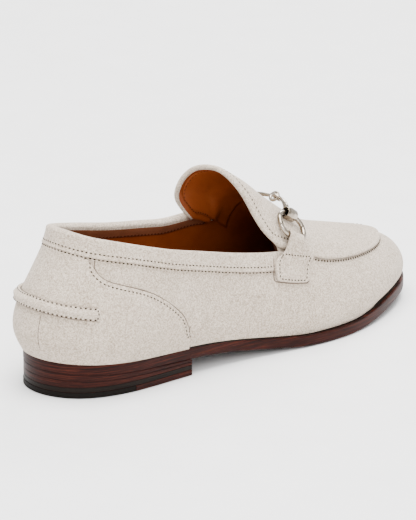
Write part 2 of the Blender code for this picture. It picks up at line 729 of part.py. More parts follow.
def build_link(place, opposite, name, finishes, parts, cutters):
    """Half of the bit: a broad eye round the ring, a bar, and an eye hooked into that of the other half"""
    metal = finishes["metal"]
    eye_radius = RING_WIRE / 2 + EYE_PLAY + EYE_WIRE / 2
    eye = place.high
    toward = (place.high - opposite.high).normalized()
    centre = knuckle_middle() + toward * KNUCKLE_RADIUS / 2
    forward = Vector((0, 0, 1)).cross(toward * place.side).normalized()
    upward = (toward * place.side).cross(forward)
    axis = (forward + upward * place.side).normalized()
    knuckle = add_torus(name, centre, axis, KNUCKLE_RADIUS, KNUCKLE_WIRE, 1, metal, parts)
    start = centre + toward * KNUCKLE_RADIUS
    away = start - eye
    away -= place.along * away.dot(place.along)
    end = eye + away.normalized() * (eye_radius + EYE_WIRE / 3)
    arch = (place.out + Vector((0, 0, 1))).normalized() * LINK_ARCH
    bar = add_bar(name + "_bar", start, end, arch, metal, cutters)
    ring_eye = add_torus(name + "_eye", eye, place.along, eye_radius, EYE_WIRE, EYE_LENGTH / EYE_WIRE, metal, cutters)
    join(knuckle, bar)
    join(knuckle, ring_eye)


def stand_on_origin(parts, cutters):
    """Puts the middle of the shoe's box over the origin; until here the heel's back edge is at Y 0"""
    graph = bpy.context.evaluated_depsgraph_get()
    points = []
    for item in parts.objects:
        solid = item.evaluated_get(graph)
        points += [v.co.copy() for v in solid.to_mesh().vertices]
        solid.to_mesh_clear()
    low, high = np.min(points, 0), np.max(points, 0)
    base = bpy.data.objects.new("base", None)
    base.location = (-(low[0] + high[0]) / 2, -(low[1] + high[1]) / 2, 0)
    for item in list(parts.objects) + list(cutters.objects):
        item.parent = base
    parts.objects.link(base)


def build():
    clear_scene()
    scene = bpy.context.scene.collection
    parts = bpy.data.collections.new("bit_loafer")
    cutters = bpy.data.collections.new("cutters")
    scene.children.link(parts)
    scene.children.link(cutters)
    finishes = {
        "suede": finish("suede", (0.72, 0.66, 0.60), 0.95),
        "lining": finish("lining", (0.42, 0.20, 0.08), 0.6),
        "sole": finish("sole_leather", (0.13, 0.035, 0.022), 0.45),
        "heel": finish("heel_leather", (0.15, 0.038, 0.024), 0.4),
        "dark": finish("dark_leather", (0.05, 0.018, 0.014), 0.45),
        "rubber": finish("rubber", (0.02, 0.018, 0.018), 0.6),
        "metal": finish("bit_metal", (0.72, 0.68, 0.62), 0.2, 1.0),
    }
    build_sole(finishes, parts)
    build_heel(finishes, parts)
    build_upper(finishes, parts)
    build_collar_band(finishes, parts)
    build_counter(finishes, parts)
    build_heel_band(finishes, parts)
    build_apron(finishes, parts)
    outer, inner = RingPlace(1), RingPlace(-1)
    for place, opposite, label in ((outer, inner, "outer"), (inner, outer, "inner")):
        build_ring(place, "bit_ring_" + label, finishes, parts)
        build_strap(place, "strap_" + label, finishes, parts)
        build_link(place, opposite, "bit_link_" + label, finishes, parts, cutters)
    stand_on_origin(parts, cutters)


build()
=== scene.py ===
import math

import bmesh
import bpy
import numpy as np
from mathutils import Matrix, Quaternion, Vector
from mathutils.bvhtree import BVHTree


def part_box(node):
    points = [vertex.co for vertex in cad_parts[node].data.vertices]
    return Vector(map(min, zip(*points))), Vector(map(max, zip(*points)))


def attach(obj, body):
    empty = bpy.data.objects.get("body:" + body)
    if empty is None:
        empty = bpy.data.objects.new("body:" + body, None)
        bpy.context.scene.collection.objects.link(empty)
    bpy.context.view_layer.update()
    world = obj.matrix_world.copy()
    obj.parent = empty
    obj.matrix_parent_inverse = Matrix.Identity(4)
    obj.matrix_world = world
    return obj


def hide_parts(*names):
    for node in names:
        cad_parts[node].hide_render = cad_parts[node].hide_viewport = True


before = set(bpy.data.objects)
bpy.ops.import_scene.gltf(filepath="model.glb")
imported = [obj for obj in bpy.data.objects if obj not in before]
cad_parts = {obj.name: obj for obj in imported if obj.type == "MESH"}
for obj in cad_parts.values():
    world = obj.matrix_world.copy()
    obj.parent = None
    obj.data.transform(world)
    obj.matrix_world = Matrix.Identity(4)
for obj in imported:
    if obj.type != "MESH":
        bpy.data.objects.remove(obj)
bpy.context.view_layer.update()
mm = 0.001
bothSides = ((1, "outer"), (-1, "inner"))

# The last that every soft piece lies on. The same tables shape the solids.
# Lengths are in metres by way of mm; t runs from 0 at the heel to 1 at the toe.
last = dict(
    length=268 * mm, ball=88 * mm, heelLift=13.6 * mm, toeSpring=6 * mm, back=87 * mm, instep=104 * mm,
    sole=6.2 * mm, gap=0.3 * mm, wall=1.8 * mm, apron=1.6 * mm, counter=0.9 * mm, band=1.1 * mm,
    collarPlay=0.5 * mm, collarDepth=8.4 * mm, frontMargin=2.6 * mm, backMargin=0.5 * mm,
    shift=(1.87 * mm, -130.994 * mm, 0.0), crownBack=0.17, crownFront=0.86, crownBlend=0.019,
    marginBlend=(0.42, 0.62), leanCurve=(1.6, 4), bellyCurve=0.7,
)
outlineTable = (  # share of the length, share of the ball's width, once round
    (0.000, -0.025), (0.030, 0.210), (0.110, 0.339), (0.220, 0.364), (0.340, 0.368), (0.460, 0.396),
    (0.580, 0.458), (0.690, 0.470), (0.800, 0.394), (0.900, 0.253), (0.975, 0.079), (1.000, -0.087),
    (0.975, -0.250), (0.900, -0.389), (0.800, -0.483), (0.700, -0.518), (0.590, -0.459), (0.460, -0.348),
    (0.340, -0.314), (0.220, -0.345), (0.110, -0.352), (0.030, -0.258), (0.000, -0.025),
)
soleTable = (  # t, share of the heel's lift, share of the toe's spring
    (0.00, 1.00, 0.00), (0.10, 0.85, 0.00), (0.24, 0.71, 0.00), (0.36, 0.57, 0.00), (0.48, 0.27, 0.00),
    (0.58, 0.02, 0.00), (0.65, -0.05, 0.00), (0.72, -0.01, 0.00), (0.80, 0.00, 0.33), (0.90, 0.00, 0.74),
    (1.00, 0.00, 1.00),
)
crownTable = (  # t, height of the top line, its place across
    (0.10, 0.930, 0.00), (0.25, 1.000, 0.02), (0.38, 0.988, 0.02), (0.48, 0.890, 0.01), (0.58, 0.728, -0.01),
    (0.68, 0.550, -0.03), (0.78, 0.455, -0.06), (0.88, 0.382, -0.08), (1.00, 0.275, -0.09),
)
sectionTable = (  # t, squareness, lean and belly of the section
    (0.00, 5.0, 0.68, 0.125), (0.12, 5.0, 0.57, 0.098), (0.25, 4.0, 0.46, 0.071), (0.40, 3.1, 0.38, 0.049),
    (0.46, 2.7, 0.31, 0.045), (0.53, 2.2, 0.16, 0.043), (0.60, 2.0, 0.05, 0.043), (0.70, 2.1, 0.00, 0.049),
    (0.80, 2.3, 0.00, 0.049), (0.90, 2.5, 0.00, 0.049), (1.00, 2.5, 0.00, 0.049),
)
toplineTable = (  # t, height of the collar outside, what is added inside
    (0.000, 1.000, 0.00), (0.020, 0.987, 0.00), (0.090, 0.949, 0.00), (0.175, 0.891, 0.01),
    (0.250, 0.823, 0.02), (0.330, 0.762, 0.035), (0.400, 0.709, 0.055), (0.485, 0.655, 0.085),
    (0.560, 0.622, 0.08), (0.640, 0.600, 0.08),
)
apronTable = (  # t, climb of the apron's edge outside, what is added inside
    (0.45, 0.380, 0.035), (0.50, 0.393, 0.066), (0.55, 0.420, 0.030), (0.62, 0.458, 0.000),
    (0.66, 0.472, 0.000), (0.71, 0.493, 0.000), (0.77, 0.510, 0.000), (0.83, 0.540, 0.000),
    (0.90, 0.608, 0.000), (0.94, 0.656, 0.000), (0.98, 0.690, 0.000), (1.00, 0.700, 0.000),
)
tongueTable = (  # share from the middle to the edge, t of the end outside and inside
    (0.00, 0.432, 0.432), (0.24, 0.432, 0.434), (0.40, 0.441, 0.432), (0.59, 0.457, 0.426),
    (0.75, 0.468, 0.422), (0.87, 0.480, 0.422), (0.95, 0.496, 0.431), (1.00, 0.516, 0.452),
)
counterTop = (  # t, height of the counter's edge
    (0.053, 0.790), (0.056, 0.765), (0.061, 0.735), (0.071, 0.700), (0.090, 0.656), (0.114, 0.584),
    (0.129, 0.513), (0.143, 0.425), (0.150, 0.340), (0.153, 0.265),
)


def cubic(table, at, column=1, loop=False):
    rows = np.asarray(table, float)
    knots, values = rows[:, 0], rows[:, column]
    end = len(knots) - 1
    step = np.diff(knots)
    rise = np.diff(values) / step
    bend = np.eye(end + 1)
    pull = np.zeros(end + 1)
    for i in range(1, end):
        bend[i, i - 1:i + 2] = step[i - 1], 2 * (step[i - 1] + step[i]), step[i]
        pull[i] = 6 * (rise[i] - rise[i - 1])
    if loop:
        bend[0, [0, 1, end - 1]] = 2 * (step[-1] + step[0]), step[0], step[-1]
        pull[0] = 6 * (rise[0] - rise[-1])
        bend[end, 0] = -1
    curve = np.linalg.solve(bend, pull)
    at = np.asarray(at, float)
    at = knots[0] + (at - knots[0]) % (knots[-1] - knots[0]) if loop else np.clip(at, knots[0], knots[-1])
    i = np.clip(np.searchsorted(knots, at, side="right") - 1, 0, end - 1)
    a = (knots[i + 1] - at) / step[i]
    b = 1 - a
    swell = (a ** 3 - a) * curve[i] + (b ** 3 - b) * curve[i + 1]
    return a * values[i] + b * values[i + 1] + swell * step[i] ** 2 / 6


def ease(low, high, x):
    share = np.clip((x - low) / (high - low), 0, 1)
    return share * share * (3 - 2 * share)


def softClamp(x, low, high, blend):
    x = low + blend * np.log1p(np.exp(np.clip((x - low) / blend, -40, 40)))
    return high - blend * np.log1p(np.exp(np.clip((high - x) / blend, -40, 40)))


outlinePoints = np.array([(out * last["ball"], along * last["length"]) for along, out in outlineTable])
outlineRun = np.r_[0, np.cumsum(np.linalg.norm(np.diff(outlinePoints, axis=0), axis=1))]
outlineRound = np.c_[outlineRun / outlineRun[-1], outlinePoints]


def outline(u):
    return np.stack([cubic(outlineRound, u, 1, True), cubic(outlineRound, u, 2, True)], -1)


def outlineNormal(u):
    run = outline(np.asarray(u) + 0.001) - outline(np.asarray(u) - 0.001)
    run /= np.linalg.norm(run, axis=-1)[..., None]
    return np.stack([run[..., 1], -run[..., 0]], -1)


def sideTables():
    fine = np.linspace(0, 1, 4001)
    along = outline(fine)[:, 1]
    back = (fine[along.argmin()] + 0.5) % 1 - 0.5
    toe = fine[along.argmax()]
    tables = {}
    for side, start in ((1, back), (-1, back + 1)):
        u = np.linspace(start, toe, 2001)
        share = outline(u)[:, 1]
        share = (share - share[0]) / (share[-1] - share[0])
        tables[side] = np.maximum.accumulate(share), u
    return tables


sides = sideTables()


def around(t, side):
    return np.interp(t, *sides[side])


def otherSide(u, side):
    return around(np.interp(u, sides[1][1], sides[1][0]), side)


def soleUnder(y):
    t = y / last["length"]
    return np.maximum(last["heelLift"] * cubic(soleTable, t) + last["toeSpring"] * cubic(soleTable, t, 2), 0)


def feather(u, inset=0.0):
    edge = outline(u)
    spread = last["frontMargin"] - last["backMargin"]
    margin = last["backMargin"] + spread * ease(*last["marginBlend"], edge[..., 1] / last["length"])
    xy = edge - outlineNormal(u) * (margin + inset)[..., None]
    return np.concatenate([xy, (soleUnder(xy[..., 1]) + last["sole"] + last["gap"])[..., None]], -1)


def crown(t):
    across, up = cubic(crownTable, t, 2) * last["ball"], cubic(crownTable, t) * last["instep"]
    return np.stack([across, t * last["length"], up], -1)


def lastPoint(u, v):
    u, v = np.broadcast_arrays(np.asarray(u, float), np.asarray(v, float))
    foot = feather(u)
    t = outline(u)[..., 1] / last["length"]
    topT = softClamp(t, last["crownBack"], last["crownFront"], last["crownBlend"])
    top = crown(topT)
    square, lean, belly = (cubic(sectionTable, t, column) for column in (1, 2, 3))
    up = np.clip(np.sin(v * math.pi / 2), 0, 1) ** (2 / square)
    out = np.clip(np.cos(v * math.pi / 2), 0, 1) ** (2 / square)
    leanStart, leanEnd = last["leanCurve"]
    out = out - lean * up ** leanStart * (1 - up ** leanEnd)
    span = foot[..., :2] - top[..., :2]
    width = np.linalg.norm(span, axis=-1)
    reach = out + belly * last["ball"] / width * np.sin(math.pi * up ** last["bellyCurve"]) * (1 - up)
    near = 0.004
    slope = (crown(topT + near) - crown(topT - near))[..., 2] / (2 * near * last["length"])
    z = foot[..., 2] + (top[..., 2] - foot[..., 2]) * up + slope * span[..., 1] * out * (1 - out)
    place = np.concatenate([top[..., :2] + span * reach[..., None], z[..., None]], -1)
    return place + np.array(last["shift"])


def lastNormal(u, v):
    near = 0.002
    v = np.clip(v, 2 * near, 1 - 5 * near)
    aroundIt = lastPoint(np.asarray(u) + near, v) - lastPoint(np.asarray(u) - near, v)
    upIt = lastPoint(u, v + near) - lastPoint(u, v - near)
    normal = np.cross(aroundIt, upIt)
    return normal / np.linalg.norm(normal, axis=-1)[..., None]


def raised(u, v, lift):
    return lastPoint(u, v) + lastNormal(u, v) * np.asarray(lift)[..., None]


climbSteps = np.linspace(0, 1, 121) * 0.97  # ends just below the flat top of the section
climbWindow = np.linspace(-0.35, 0.25, 241)  # how far below and above a start is searched


def climbToHeight(u, height):
    sections = lastPoint(np.asarray(u)[:, None], climbSteps)
    return np.array([np.interp(h, s[:, 2], climbSteps) for h, s in zip(height, sections)])


def climbBy(u, start, distance):
    distance = np.broadcast_to(distance, len(start))
    v = np.clip(start[:, None] + climbWindow, 0, 1)
    steps = np.linalg.norm(np.diff(lastPoint(np.asarray(u)[:, None], v), axis=1), axis=2)
    run = np.c_[np.zeros(len(v)), np.cumsum(steps, axis=1)]
    return np.array([
        np.interp(np.interp(s, line, r) + d, r, line) for s, d, r, line in zip(start, distance, run, v)
    ])


# Collar band: its two ends at the throat, and how far its inner side stands up
collarShape = dict(
    outerEnd=0.55, innerEnd=0.512, steps=80, roll=1.4 * mm, rollSteps=9, innerLeg=1.5 * mm, hem=5 * mm,
    sideRise=2.6 * mm, sideReach=(0.12, 0.36), throatRise=2.2 * mm, throatReach=(0.38, 0.50),
    thinning=(0.498, 0.514), thinInside=0.22 * mm, thinOutside=0.8 * mm,
    legShares=(1, 0.97, 0.75, 0.5, 0.25, 0.1),
)


# How far the inner side of the collar stands above the wall that it wraps
def collarRise(t, side):
    rise = collarShape["sideRise"] * ease(*collarShape["sideReach"], t)
    rise = rise + collarShape["throatRise"] * ease(*collarShape["throatReach"], t)
    return rise * (side < 0)


def topline(t, side):
    height = cubic(toplineTable, t) + (cubic(toplineTable, t, 2) if side < 0 else 0)
    return height * last["back"] - last["collarPlay"] - last["band"] + collarRise(t, side)


def apronEdge(t, side):
    return cubic(apronTable, t) + (cubic(apronTable, t, 2) if side < 0 else 0)


# Places along the collar from the outer throat round the heel to the inner one
def collarWay():
    turn = 1 - np.cos(np.linspace(0, math.pi / 2, collarShape["steps"]))
    outer, inner = turn[::-1] * collarShape["outerEnd"], turn[1:] * collarShape["innerEnd"]
    u = np.r_[around(outer, 1), around(inner, -1)]
    v = np.r_[climbToHeight(around(outer, 1), topline(outer, 1)),
              climbToHeight(around(inner, -1), topline(inner, -1))]
    thin = np.r_[ease(*collarShape["thinning"], outer), np.zeros(len(inner))]
    depth = last["collarDepth"] + np.r_[np.zeros(len(outer)), collarRise(inner, -1)]
    return u, v, thin, depth


print("last: ready")

# Finishes. Each one is a small node tree on Object coordinates.
finishes = dict(
    suede=dict(base=(0.430, 0.350, 0.270), light=(0.740, 0.640, 0.530), dark=(0.170, 0.122, 0.082)),
    # painted shade: dark suede for the shadow lines beside the edges of overlays
    paintedEdgeShadow=dict(base=(0.150, 0.112, 0.082), light=(0.210, 0.165, 0.125), dark=(0.100, 0.072, 0.050)),
    lining=dict(base=(0.165, 0.033, 0.0045), light=(0.195, 0.043, 0.006), dark=(0.135, 0.025, 0.0035)),
    # painted shade: the lining darkened where the tongue shades the throat
    shadedLining=dict(base=(0.030, 0.009, 0.003), light=(0.042, 0.013, 0.004), dark=(0.020, 0.006, 0.002)),
    facing=dict(base=(0.150, 0.050, 0.021), light=(0.195, 0.070, 0.032), dark=(0.105, 0.032, 0.013)),
    sole=dict(base=(0.0150, 0.0027, 0.0016), light=(0.085, 0.0170, 0.0085), dark=(0.0022, 0.0009, 0.0007)),
    darkLift=dict(base=(0.0065, 0.0040, 0.0028), light=(0.012, 0.007, 0.005), dark=(0.003, 0.0020, 0.0015)),
    glue=dict(base=(0.016, 0.0034, 0.0022), light=(0.022, 0.005, 0.0034), dark=(0.010, 0.0024, 0.0017)),
    rubber=dict(base=(0.0042, 0.0029, 0.0021), light=(0.007, 0.0050, 0.0038), dark=(0.0025, 0.0018, 0.0013)),
    # metal: the dark base and dark noise patches are painted dark reflections, as the white studio gives the
    # polished metal none
    metal=dict(base=(0.300, 0.255, 0.205), light=(0.520, 0.465, 0.395), dark=(0.130, 0.105, 0.080)),
    thread=dict(base=(0.022, 0.015, 0.010), light=(0.036, 0.025, 0.017), dark=(0.012, 0.008, 0.006)),
    brownThread=dict(base=(0.070, 0.016, 0.006), light=(0.110, 0.030, 0.012), dark=(0.035, 0.008, 0.003)),
    floor=dict(base=(0.860, 0.855, 0.850), light=(0.875, 0.870, 0.865), dark=(0.840, 0.835, 0.830)),
)


# A Principled shader whose constant sockets are set directly
def startMaterial(name, roughness, metallic=0.0, sheen=0.0, specular=0.5):
    material = bpy.data.materials.new(name)
    material.use_nodes = True
    tree = material.node_tree
    shader = tree.nodes["Principled BSDF"]
    for socket, value in (("Roughness", roughness), ("Metallic", metallic), ("Sheen Weight", sheen),
                          ("Sheen Roughness", 0.45), ("Specular IOR Level", specular)):
        shader.inputs[socket].default_value = value
    coords = tree.nodes.new("ShaderNodeTexCoord")
    return material, tree, shader, coords.outputs["Object"]


def mapped(tree, coords, scale):
    node = tree.nodes.new("ShaderNodeMapping")
    node.inputs["Scale"].default_value = scale
    tree.links.new(coords, node.inputs["Vector"])
    return node.outputs["Vector"]


def noise(tree, coords, scale, detail=2.0, roughness=0.5, distortion=0.0):
    node = tree.nodes.new("ShaderNodeTexNoise")
    for socket, value in (("Scale", scale), ("Detail", detail), ("Roughness", roughness),
                          ("Distortion", distortion)):
        node.inputs[socket].default_value = value
    tree.links.new(coords, node.inputs["Vector"])
    return node.outputs["Fac"]


def ramp(tree, value, tones, low, high, middle=0.50, names=("dark", "base", "light")):
    node = tree.nodes.new("ShaderNodeValToRGB")
    band = node.color_ramp
    places = (low, middle, high) if len(names) == 3 else (low, high)
    while len(band.elements) < len(places):
        band.elements.new(0.5)
    for element, place, tone in zip(band.elements, places, names):
        element.position = place
        element.color = (*tones[tone], 1)
    tree.links.new(value, node.inputs["Fac"])
    return node.outputs["Color"]


def mixed(tree, share, first, second):
    node = tree.nodes.new("ShaderNodeMix")
    node.data_type = "RGBA"
    node.inputs["Factor"].default_value = share
    tree.links.new(first, node.inputs["A"])
    tree.links.new(second, node.inputs["B"])
    return node.outputs["Result"]


def spread(tree, value, low, high):
    node = tree.nodes.new("ShaderNodeMapRange")
    node.inputs["To Min"].default_value = low
    node.inputs["To Max"].default_value = high
    tree.links.new(value, node.inputs["Value"])
    return node.outputs["Result"]


def added(tree, first, second, weight):
    node = tree.nodes.new("ShaderNodeMath")
    node.operation = "MULTIPLY_ADD"
    node.inputs[1].default_value = weight
    tree.links.new(second, node.inputs[0])
    tree.links.new(first, node.inputs[2])
    return node.outputs["Value"]


def bump(tree, shader, height, strength, depth):
    node = tree.nodes.new("ShaderNodeBump")
    node.inputs["Strength"].default_value = strength
    node.inputs["Distance"].default_value = depth
    tree.links.new(height, node.inputs["Height"])
    tree.links.new(node.outputs["Normal"], shader.inputs["Normal"])


nap = dict(fibres=1900, lie=(1, 0.75, 0.9), clumps=820, patches=75, depth=0.4 * mm, strength=1.0)


# Nap: fine clumps of fibres that lean, soft brushed patches over them, and a velvety sheen
def suedeMaterial(name, tones):
    material, tree, shader, coords = startMaterial(name, 0.93, sheen=0.18, specular=0.12)
    fibres = noise(tree, mapped(tree, coords, nap["lie"]), nap["fibres"], 3, 0.6)
    clumps = noise(tree, coords, nap["clumps"], 3, 0.6, 0.3)
    patches = noise(tree, coords, nap["patches"], 4, 0.6, 0.8)
    near = ramp(tree, fibres, tones, 0.38, 0.62)
    middle = ramp(tree, clumps, tones, 0.35, 0.65)
    broad = ramp(tree, patches, tones, 0.30, 0.75, names=("base", "light"))
    colour = mixed(tree, 0.22, mixed(tree, 0.42, near, middle), broad)
    tree.links.new(colour, shader.inputs["Base Color"])
    bump(tree, shader, added(tree, fibres, clumps, 1.4), nap["strength"], nap["depth"])
    return material


grain = dict(cells=1100, drift=60, pores=900, depth=0.12 * mm, strength=0.3)


# Smooth leather: fine pebbled grain, drifting colour and rubbed gloss
def leatherMaterial(name, tones, roughness):
    material, tree, shader, coords = startMaterial(name, roughness, specular=0.2)
    cells = tree.nodes.new("ShaderNodeTexVoronoi")
    cells.inputs["Scale"].default_value = grain["cells"]
    tree.links.new(coords, cells.inputs["Vector"])
    drift = noise(tree, coords, grain["drift"], 4, 0.6, 0.5)
    pores = noise(tree, coords, grain["pores"], 3, 0.6)
    broad = ramp(tree, drift, tones, 0.28, 0.74)
    close = ramp(tree, pores, tones, 0.35, 0.8, 0.55)
    tree.links.new(mixed(tree, 0.3, broad, close), shader.inputs["Base Color"])
    tree.links.new(spread(tree, drift, roughness - 0.1, roughness + 0.12), shader.inputs["Roughness"])
    bump(tree, shader, added(tree, pores, cells.outputs["Distance"], 0.6), grain["strength"], grain["depth"])
    return material


layered = dict(along=22, fibres=(130, 130, 2600), depth=0.15 * mm, strength=0.25)


# Cut and waxed edge of stacked leather: thin level layers and short fibres along them
def edgeMaterial(name, tones, roughness, streak=1500):
    material, tree, shader, coords = startMaterial(name, roughness, specular=0.08)
    layers = noise(tree, mapped(tree, coords, (layered["along"], layered["along"], streak)), 1, 4, 0.65, 0.3)
    fibres = noise(tree, mapped(tree, coords, layered["fibres"]), 1, 3, 0.6)
    broad = ramp(tree, layers, tones, 0.32, 0.72)
    close = ramp(tree, fibres, tones, 0.30, 0.78, 0.52)
    tree.links.new(mixed(tree, 0.4, broad, close), shader.inputs["Base Color"])
    tree.links.new(spread(tree, fibres, roughness - 0.08, roughness + 0.15), shader.inputs["Roughness"])
    bump(tree, shader, added(tree, fibres, layers, 1.0), layered["strength"], layered["depth"])
    return material


# Rubber, metal, thread and floor: fine variation of colour, gloss and height
def plainMaterial(name, tones, roughness, scale, metallic=0.0, depth=0.05 * mm, strength=0.3, shine=0.5):
    material, tree, shader, coords = startMaterial(name, roughness, metallic, specular=shine)
    specks = noise(tree, coords, scale, 4, 0.6)
    tree.links.new(ramp(tree, specks, tones, 0.30, 0.72), shader.inputs["Base Color"])
    tree.links.new(spread(tree, specks, roughness * 0.75, roughness * 1.25), shader.inputs["Roughness"])
    bump(tree, shader, specks, strength, depth)
    return material


suede = suedeMaterial("suede", finishes["suede"])
# painted shade: the dark lines where the edges of overlays throw their shadow
paintedEdgeShadow = suedeMaterial("suedePaintedEdgeShadow", finishes["paintedEdgeShadow"])
lining = leatherMaterial("liningLeather", finishes["lining"], 0.5)
# painted shade: a darker copy of the lining for faces in the tongue's shade
shadedLining = leatherMaterial("shadedLiningLeather", finishes["shadedLining"], 0.6)
facing = leatherMaterial("facingLeather", finishes["facing"], 0.62)
soleEdge = edgeMaterial("soleEdge", finishes["sole"], 0.42)
heelEdge = edgeMaterial("heelEdge", finishes["sole"], 0.38, 1900)
darkEdge = edgeMaterial("darkEdge", finishes["darkLift"], 0.42, 900)
glueEdge = edgeMaterial("glueEdge", finishes["glue"], 0.5, 900)
rubber = plainMaterial("rubberTread", finishes["rubber"], 0.55, 1400, depth=0.1 * mm, shine=0.07)
metal = plainMaterial("polishedMetal", finishes["metal"], 0.16, 170, 1.0, 0.02 * mm, 0.05)
thread = plainMaterial("thread", finishes["thread"], 0.8, 3500, shine=0.1)
brownThread = plainMaterial("brownThread", finishes["brownThread"], 0.7, 3500, shine=0.1)
floorFinish = plainMaterial("paleFloor", finishes["floor"], 0.9, 30, strength=0.02)
print("finishes: ready")


# Helpers for pieces
merge = 0.01 * mm  # corners closer than this become one


def deselect():
    bpy.ops.object.select_all(action="DESELECT")


def choose(piece):
    deselect()
    piece.select_set(True)
    bpy.context.view_layer.objects.active = piece


# Opens a piece for editing, with all of it selected
def openAll(piece):
    choose(piece)
    bpy.ops.object.mode_set(mode="EDIT")
    bpy.ops.mesh.select_all(action="SELECT")


def applyAll(piece):
    choose(piece)
    for modifier in list(piece.modifiers):
        bpy.ops.object.modifier_apply(modifier=modifier.name)


def settle(piece, slot, *nodes):
    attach(piece, "root")
    if nodes:
        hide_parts(*nodes)
    return piece


# A merged copy of a CAD node, with square faces where its triangles pair up
def copyNode(node, name, *materials):
    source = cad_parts[node]
    piece = source.copy()
    piece.data = source.data.copy()
    piece.name = piece.data.name = name
    bpy.context.collection.objects.link(piece)
    piece.data.materials.clear()
    for material in materials:
        piece.data.materials.append(material)
    openAll(piece)
    bpy.ops.mesh.remove_doubles(threshold=merge)
    bpy.ops.mesh.customdata_custom_splitnormals_clear()
    bpy.ops.mesh.tris_convert_to_quads(face_threshold=0.9, shape_threshold=1.2)
    bpy.ops.object.mode_set(mode="OBJECT")
    return piece


def creaseSharp(piece, angle):
    choose(piece)
    bpy.ops.object.mode_set(mode="EDIT")
    bpy.ops.mesh.select_mode(type="EDGE")
    bpy.ops.mesh.select_all(action="DESELECT")
    bpy.ops.mesh.edges_select_sharp(sharpness=math.radians(angle))
    bpy.ops.transform.edge_crease(value=1)
    bpy.ops.object.mode_set(mode="OBJECT")


smoothing = dict(levels=2, counter=0.3 * mm, heelBand=0.6 * mm, apron=0.7 * mm, strap=0.35 * mm)


# Subdivides between the sharp edges, and then rounds those
def smoothOut(piece, edge=0.0, segments=2, angle=50):
    creaseSharp(piece, angle)
    divide = piece.modifiers.new("divide", "SUBSURF")
    divide.levels = divide.render_levels = smoothing["levels"]
    if edge:
        bevel = piece.modifiers.new("round", "BEVEL")
        bevel.width = edge
        bevel.segments = segments
        bevel.limit_method = "ANGLE"
        bevel.angle_limit = math.radians(angle)
    applyAll(piece)
    choose(piece)
    bpy.ops.object.shade_smooth_by_angle(angle=math.radians(45))


# A CAD node's smoothed copy, which takes its place
def smoothCopy(node, name, slot, *materials, edge=0.0, segments=2, angle=50):
    piece = copyNode(node, name, *materials)
    smoothOut(piece, edge, segments, angle)
    return settle(piece, slot, node)


def spotsOf(piece):
    piece.data.vertices.foreach_get("co", spots := np.zeros(len(piece.data.vertices) * 3))
    return spots.reshape(-1, 3)


def moveTo(piece, spots):
    piece.data.vertices.foreach_set("co", spots.ravel())
    piece.data.update()


# One search tree over one or more finished pieces
def treeOf(*chosen):
    vertices, faces = [], []
    for piece in chosen:
        base = len(vertices)
        vertices += [v.co[:] for v in piece.data.vertices]
        faces += [tuple(base + i for i in face.vertices) for face in piece.data.polygons]
    return BVHTree.FromPolygons(vertices, faces)


def meshPiece(name, vertices, faces, material, smooth=True):
    mesh = bpy.data.meshes.new(name)
    mesh.from_pydata([tuple(v) for v in vertices], [], faces)
    mesh.materials.append(material)
    piece = bpy.data.objects.new(name, mesh)
    bpy.context.collection.objects.link(piece)
    if smooth:
        mesh.shade_smooth()
    return piece


# Squares between neighbouring rows; loop joins the last column to the first
def gridFaces(rows, columns, loop=False):
    faces = []
    for i in range(rows - 1):
        for j in range(columns if loop else columns - 1):
            near, far = i * columns, (i + 1) * columns
            beyond = (j + 1) % columns
            faces.append((near + j, near + beyond, far + beyond, far + j))
    return faces


# A thin sheet laid over a grid of places, closed by its own thickness
def sheetPiece(name, grid, material, thickness, flip=False):
    faces = gridFaces(*grid.shape[:2])
    if flip:
        faces = [face[::-1] for face in faces]
    piece = meshPiece(name, grid.reshape(-1, 3), faces, material)
    openAll(piece)
    bpy.ops.mesh.remove_doubles(threshold=merge)
    bpy.ops.object.mode_set(mode="OBJECT")
    solid = piece.modifiers.new("thickness", "SOLIDIFY")
    solid.thickness = thickness
    solid.offset = 0
    applyAll(piece)
    return piece


# A soft roll swept along a line; radius may be a list, squash flattens it along outward
def tubePiece(name, line, radius, material, corners=8, squash=1.0, outward=None, closed=False):
    line = np.asarray(line)
    count = len(line)
    radius = np.broadcast_to(radius, count)
    ahead = np.roll(line, -1, 0) - np.roll(line, 1, 0)
    if not closed:
        ahead[0], ahead[-1] = line[1] - line[0], line[-1] - line[-2]
    ahead /= np.linalg.norm(ahead, axis=1)[:, None]
    up = np.asarray(outward) if outward is not None else np.tile((0.0, 0.0, 1.0), (count, 1))
    up = up - ahead * (up * ahead).sum(1)[:, None]
    up /= np.linalg.norm(up, axis=1)[:, None]
    beside = np.cross(ahead, up)
    angles = np.linspace(0, 2 * math.pi, corners, endpoint=False)
    rings = (line[:, None] + (beside[:, None] * np.cos(angles)[:, None]
             + up[:, None] * squash * np.sin(angles)[:, None]) * radius[:, None, None])
    faces = []
    for i in range(count if closed else count - 1):
        for j in range(corners):
            a, b = i * corners + j, i * corners + (j + 1) % corners
            c, d = ((i + 1) % count) * corners + (j + 1) % corners, ((i + 1) % count) * corners + j
            faces.append((a, b, c, d))
    if not closed:
        faces.append(tuple(range(corners))[::-1])
        faces.append(tuple((count - 1) * corners + j for j in range(corners)))
    piece = meshPiece(name, rings.reshape(-1, 3), faces, material)
    turnOut(piece)
    return piece


# Makes the faces of a closed piece look outwards
def turnOut(piece):
    openAll(piece)
    bpy.ops.mesh.normals_make_consistent(inside=False)
    bpy.ops.object.mode_set(mode="OBJECT")


def resample(line, step):
    line = np.asarray(line)
    run = np.r_[0, np.cumsum(np.linalg.norm(np.diff(line, axis=0), axis=1))]
    count = max(int(round(run[-1] / step)), 1)
    at = (np.arange(count) + 0.5) * run[-1] / count
    behind, here, ahead = (np.stack([np.interp(np.clip(at + move, 0, run[-1]), run, line[:, k])
                                     for k in range(3)], 1) for move in (-0.3 * mm, 0, 0.3 * mm))
    return here, ahead - behind


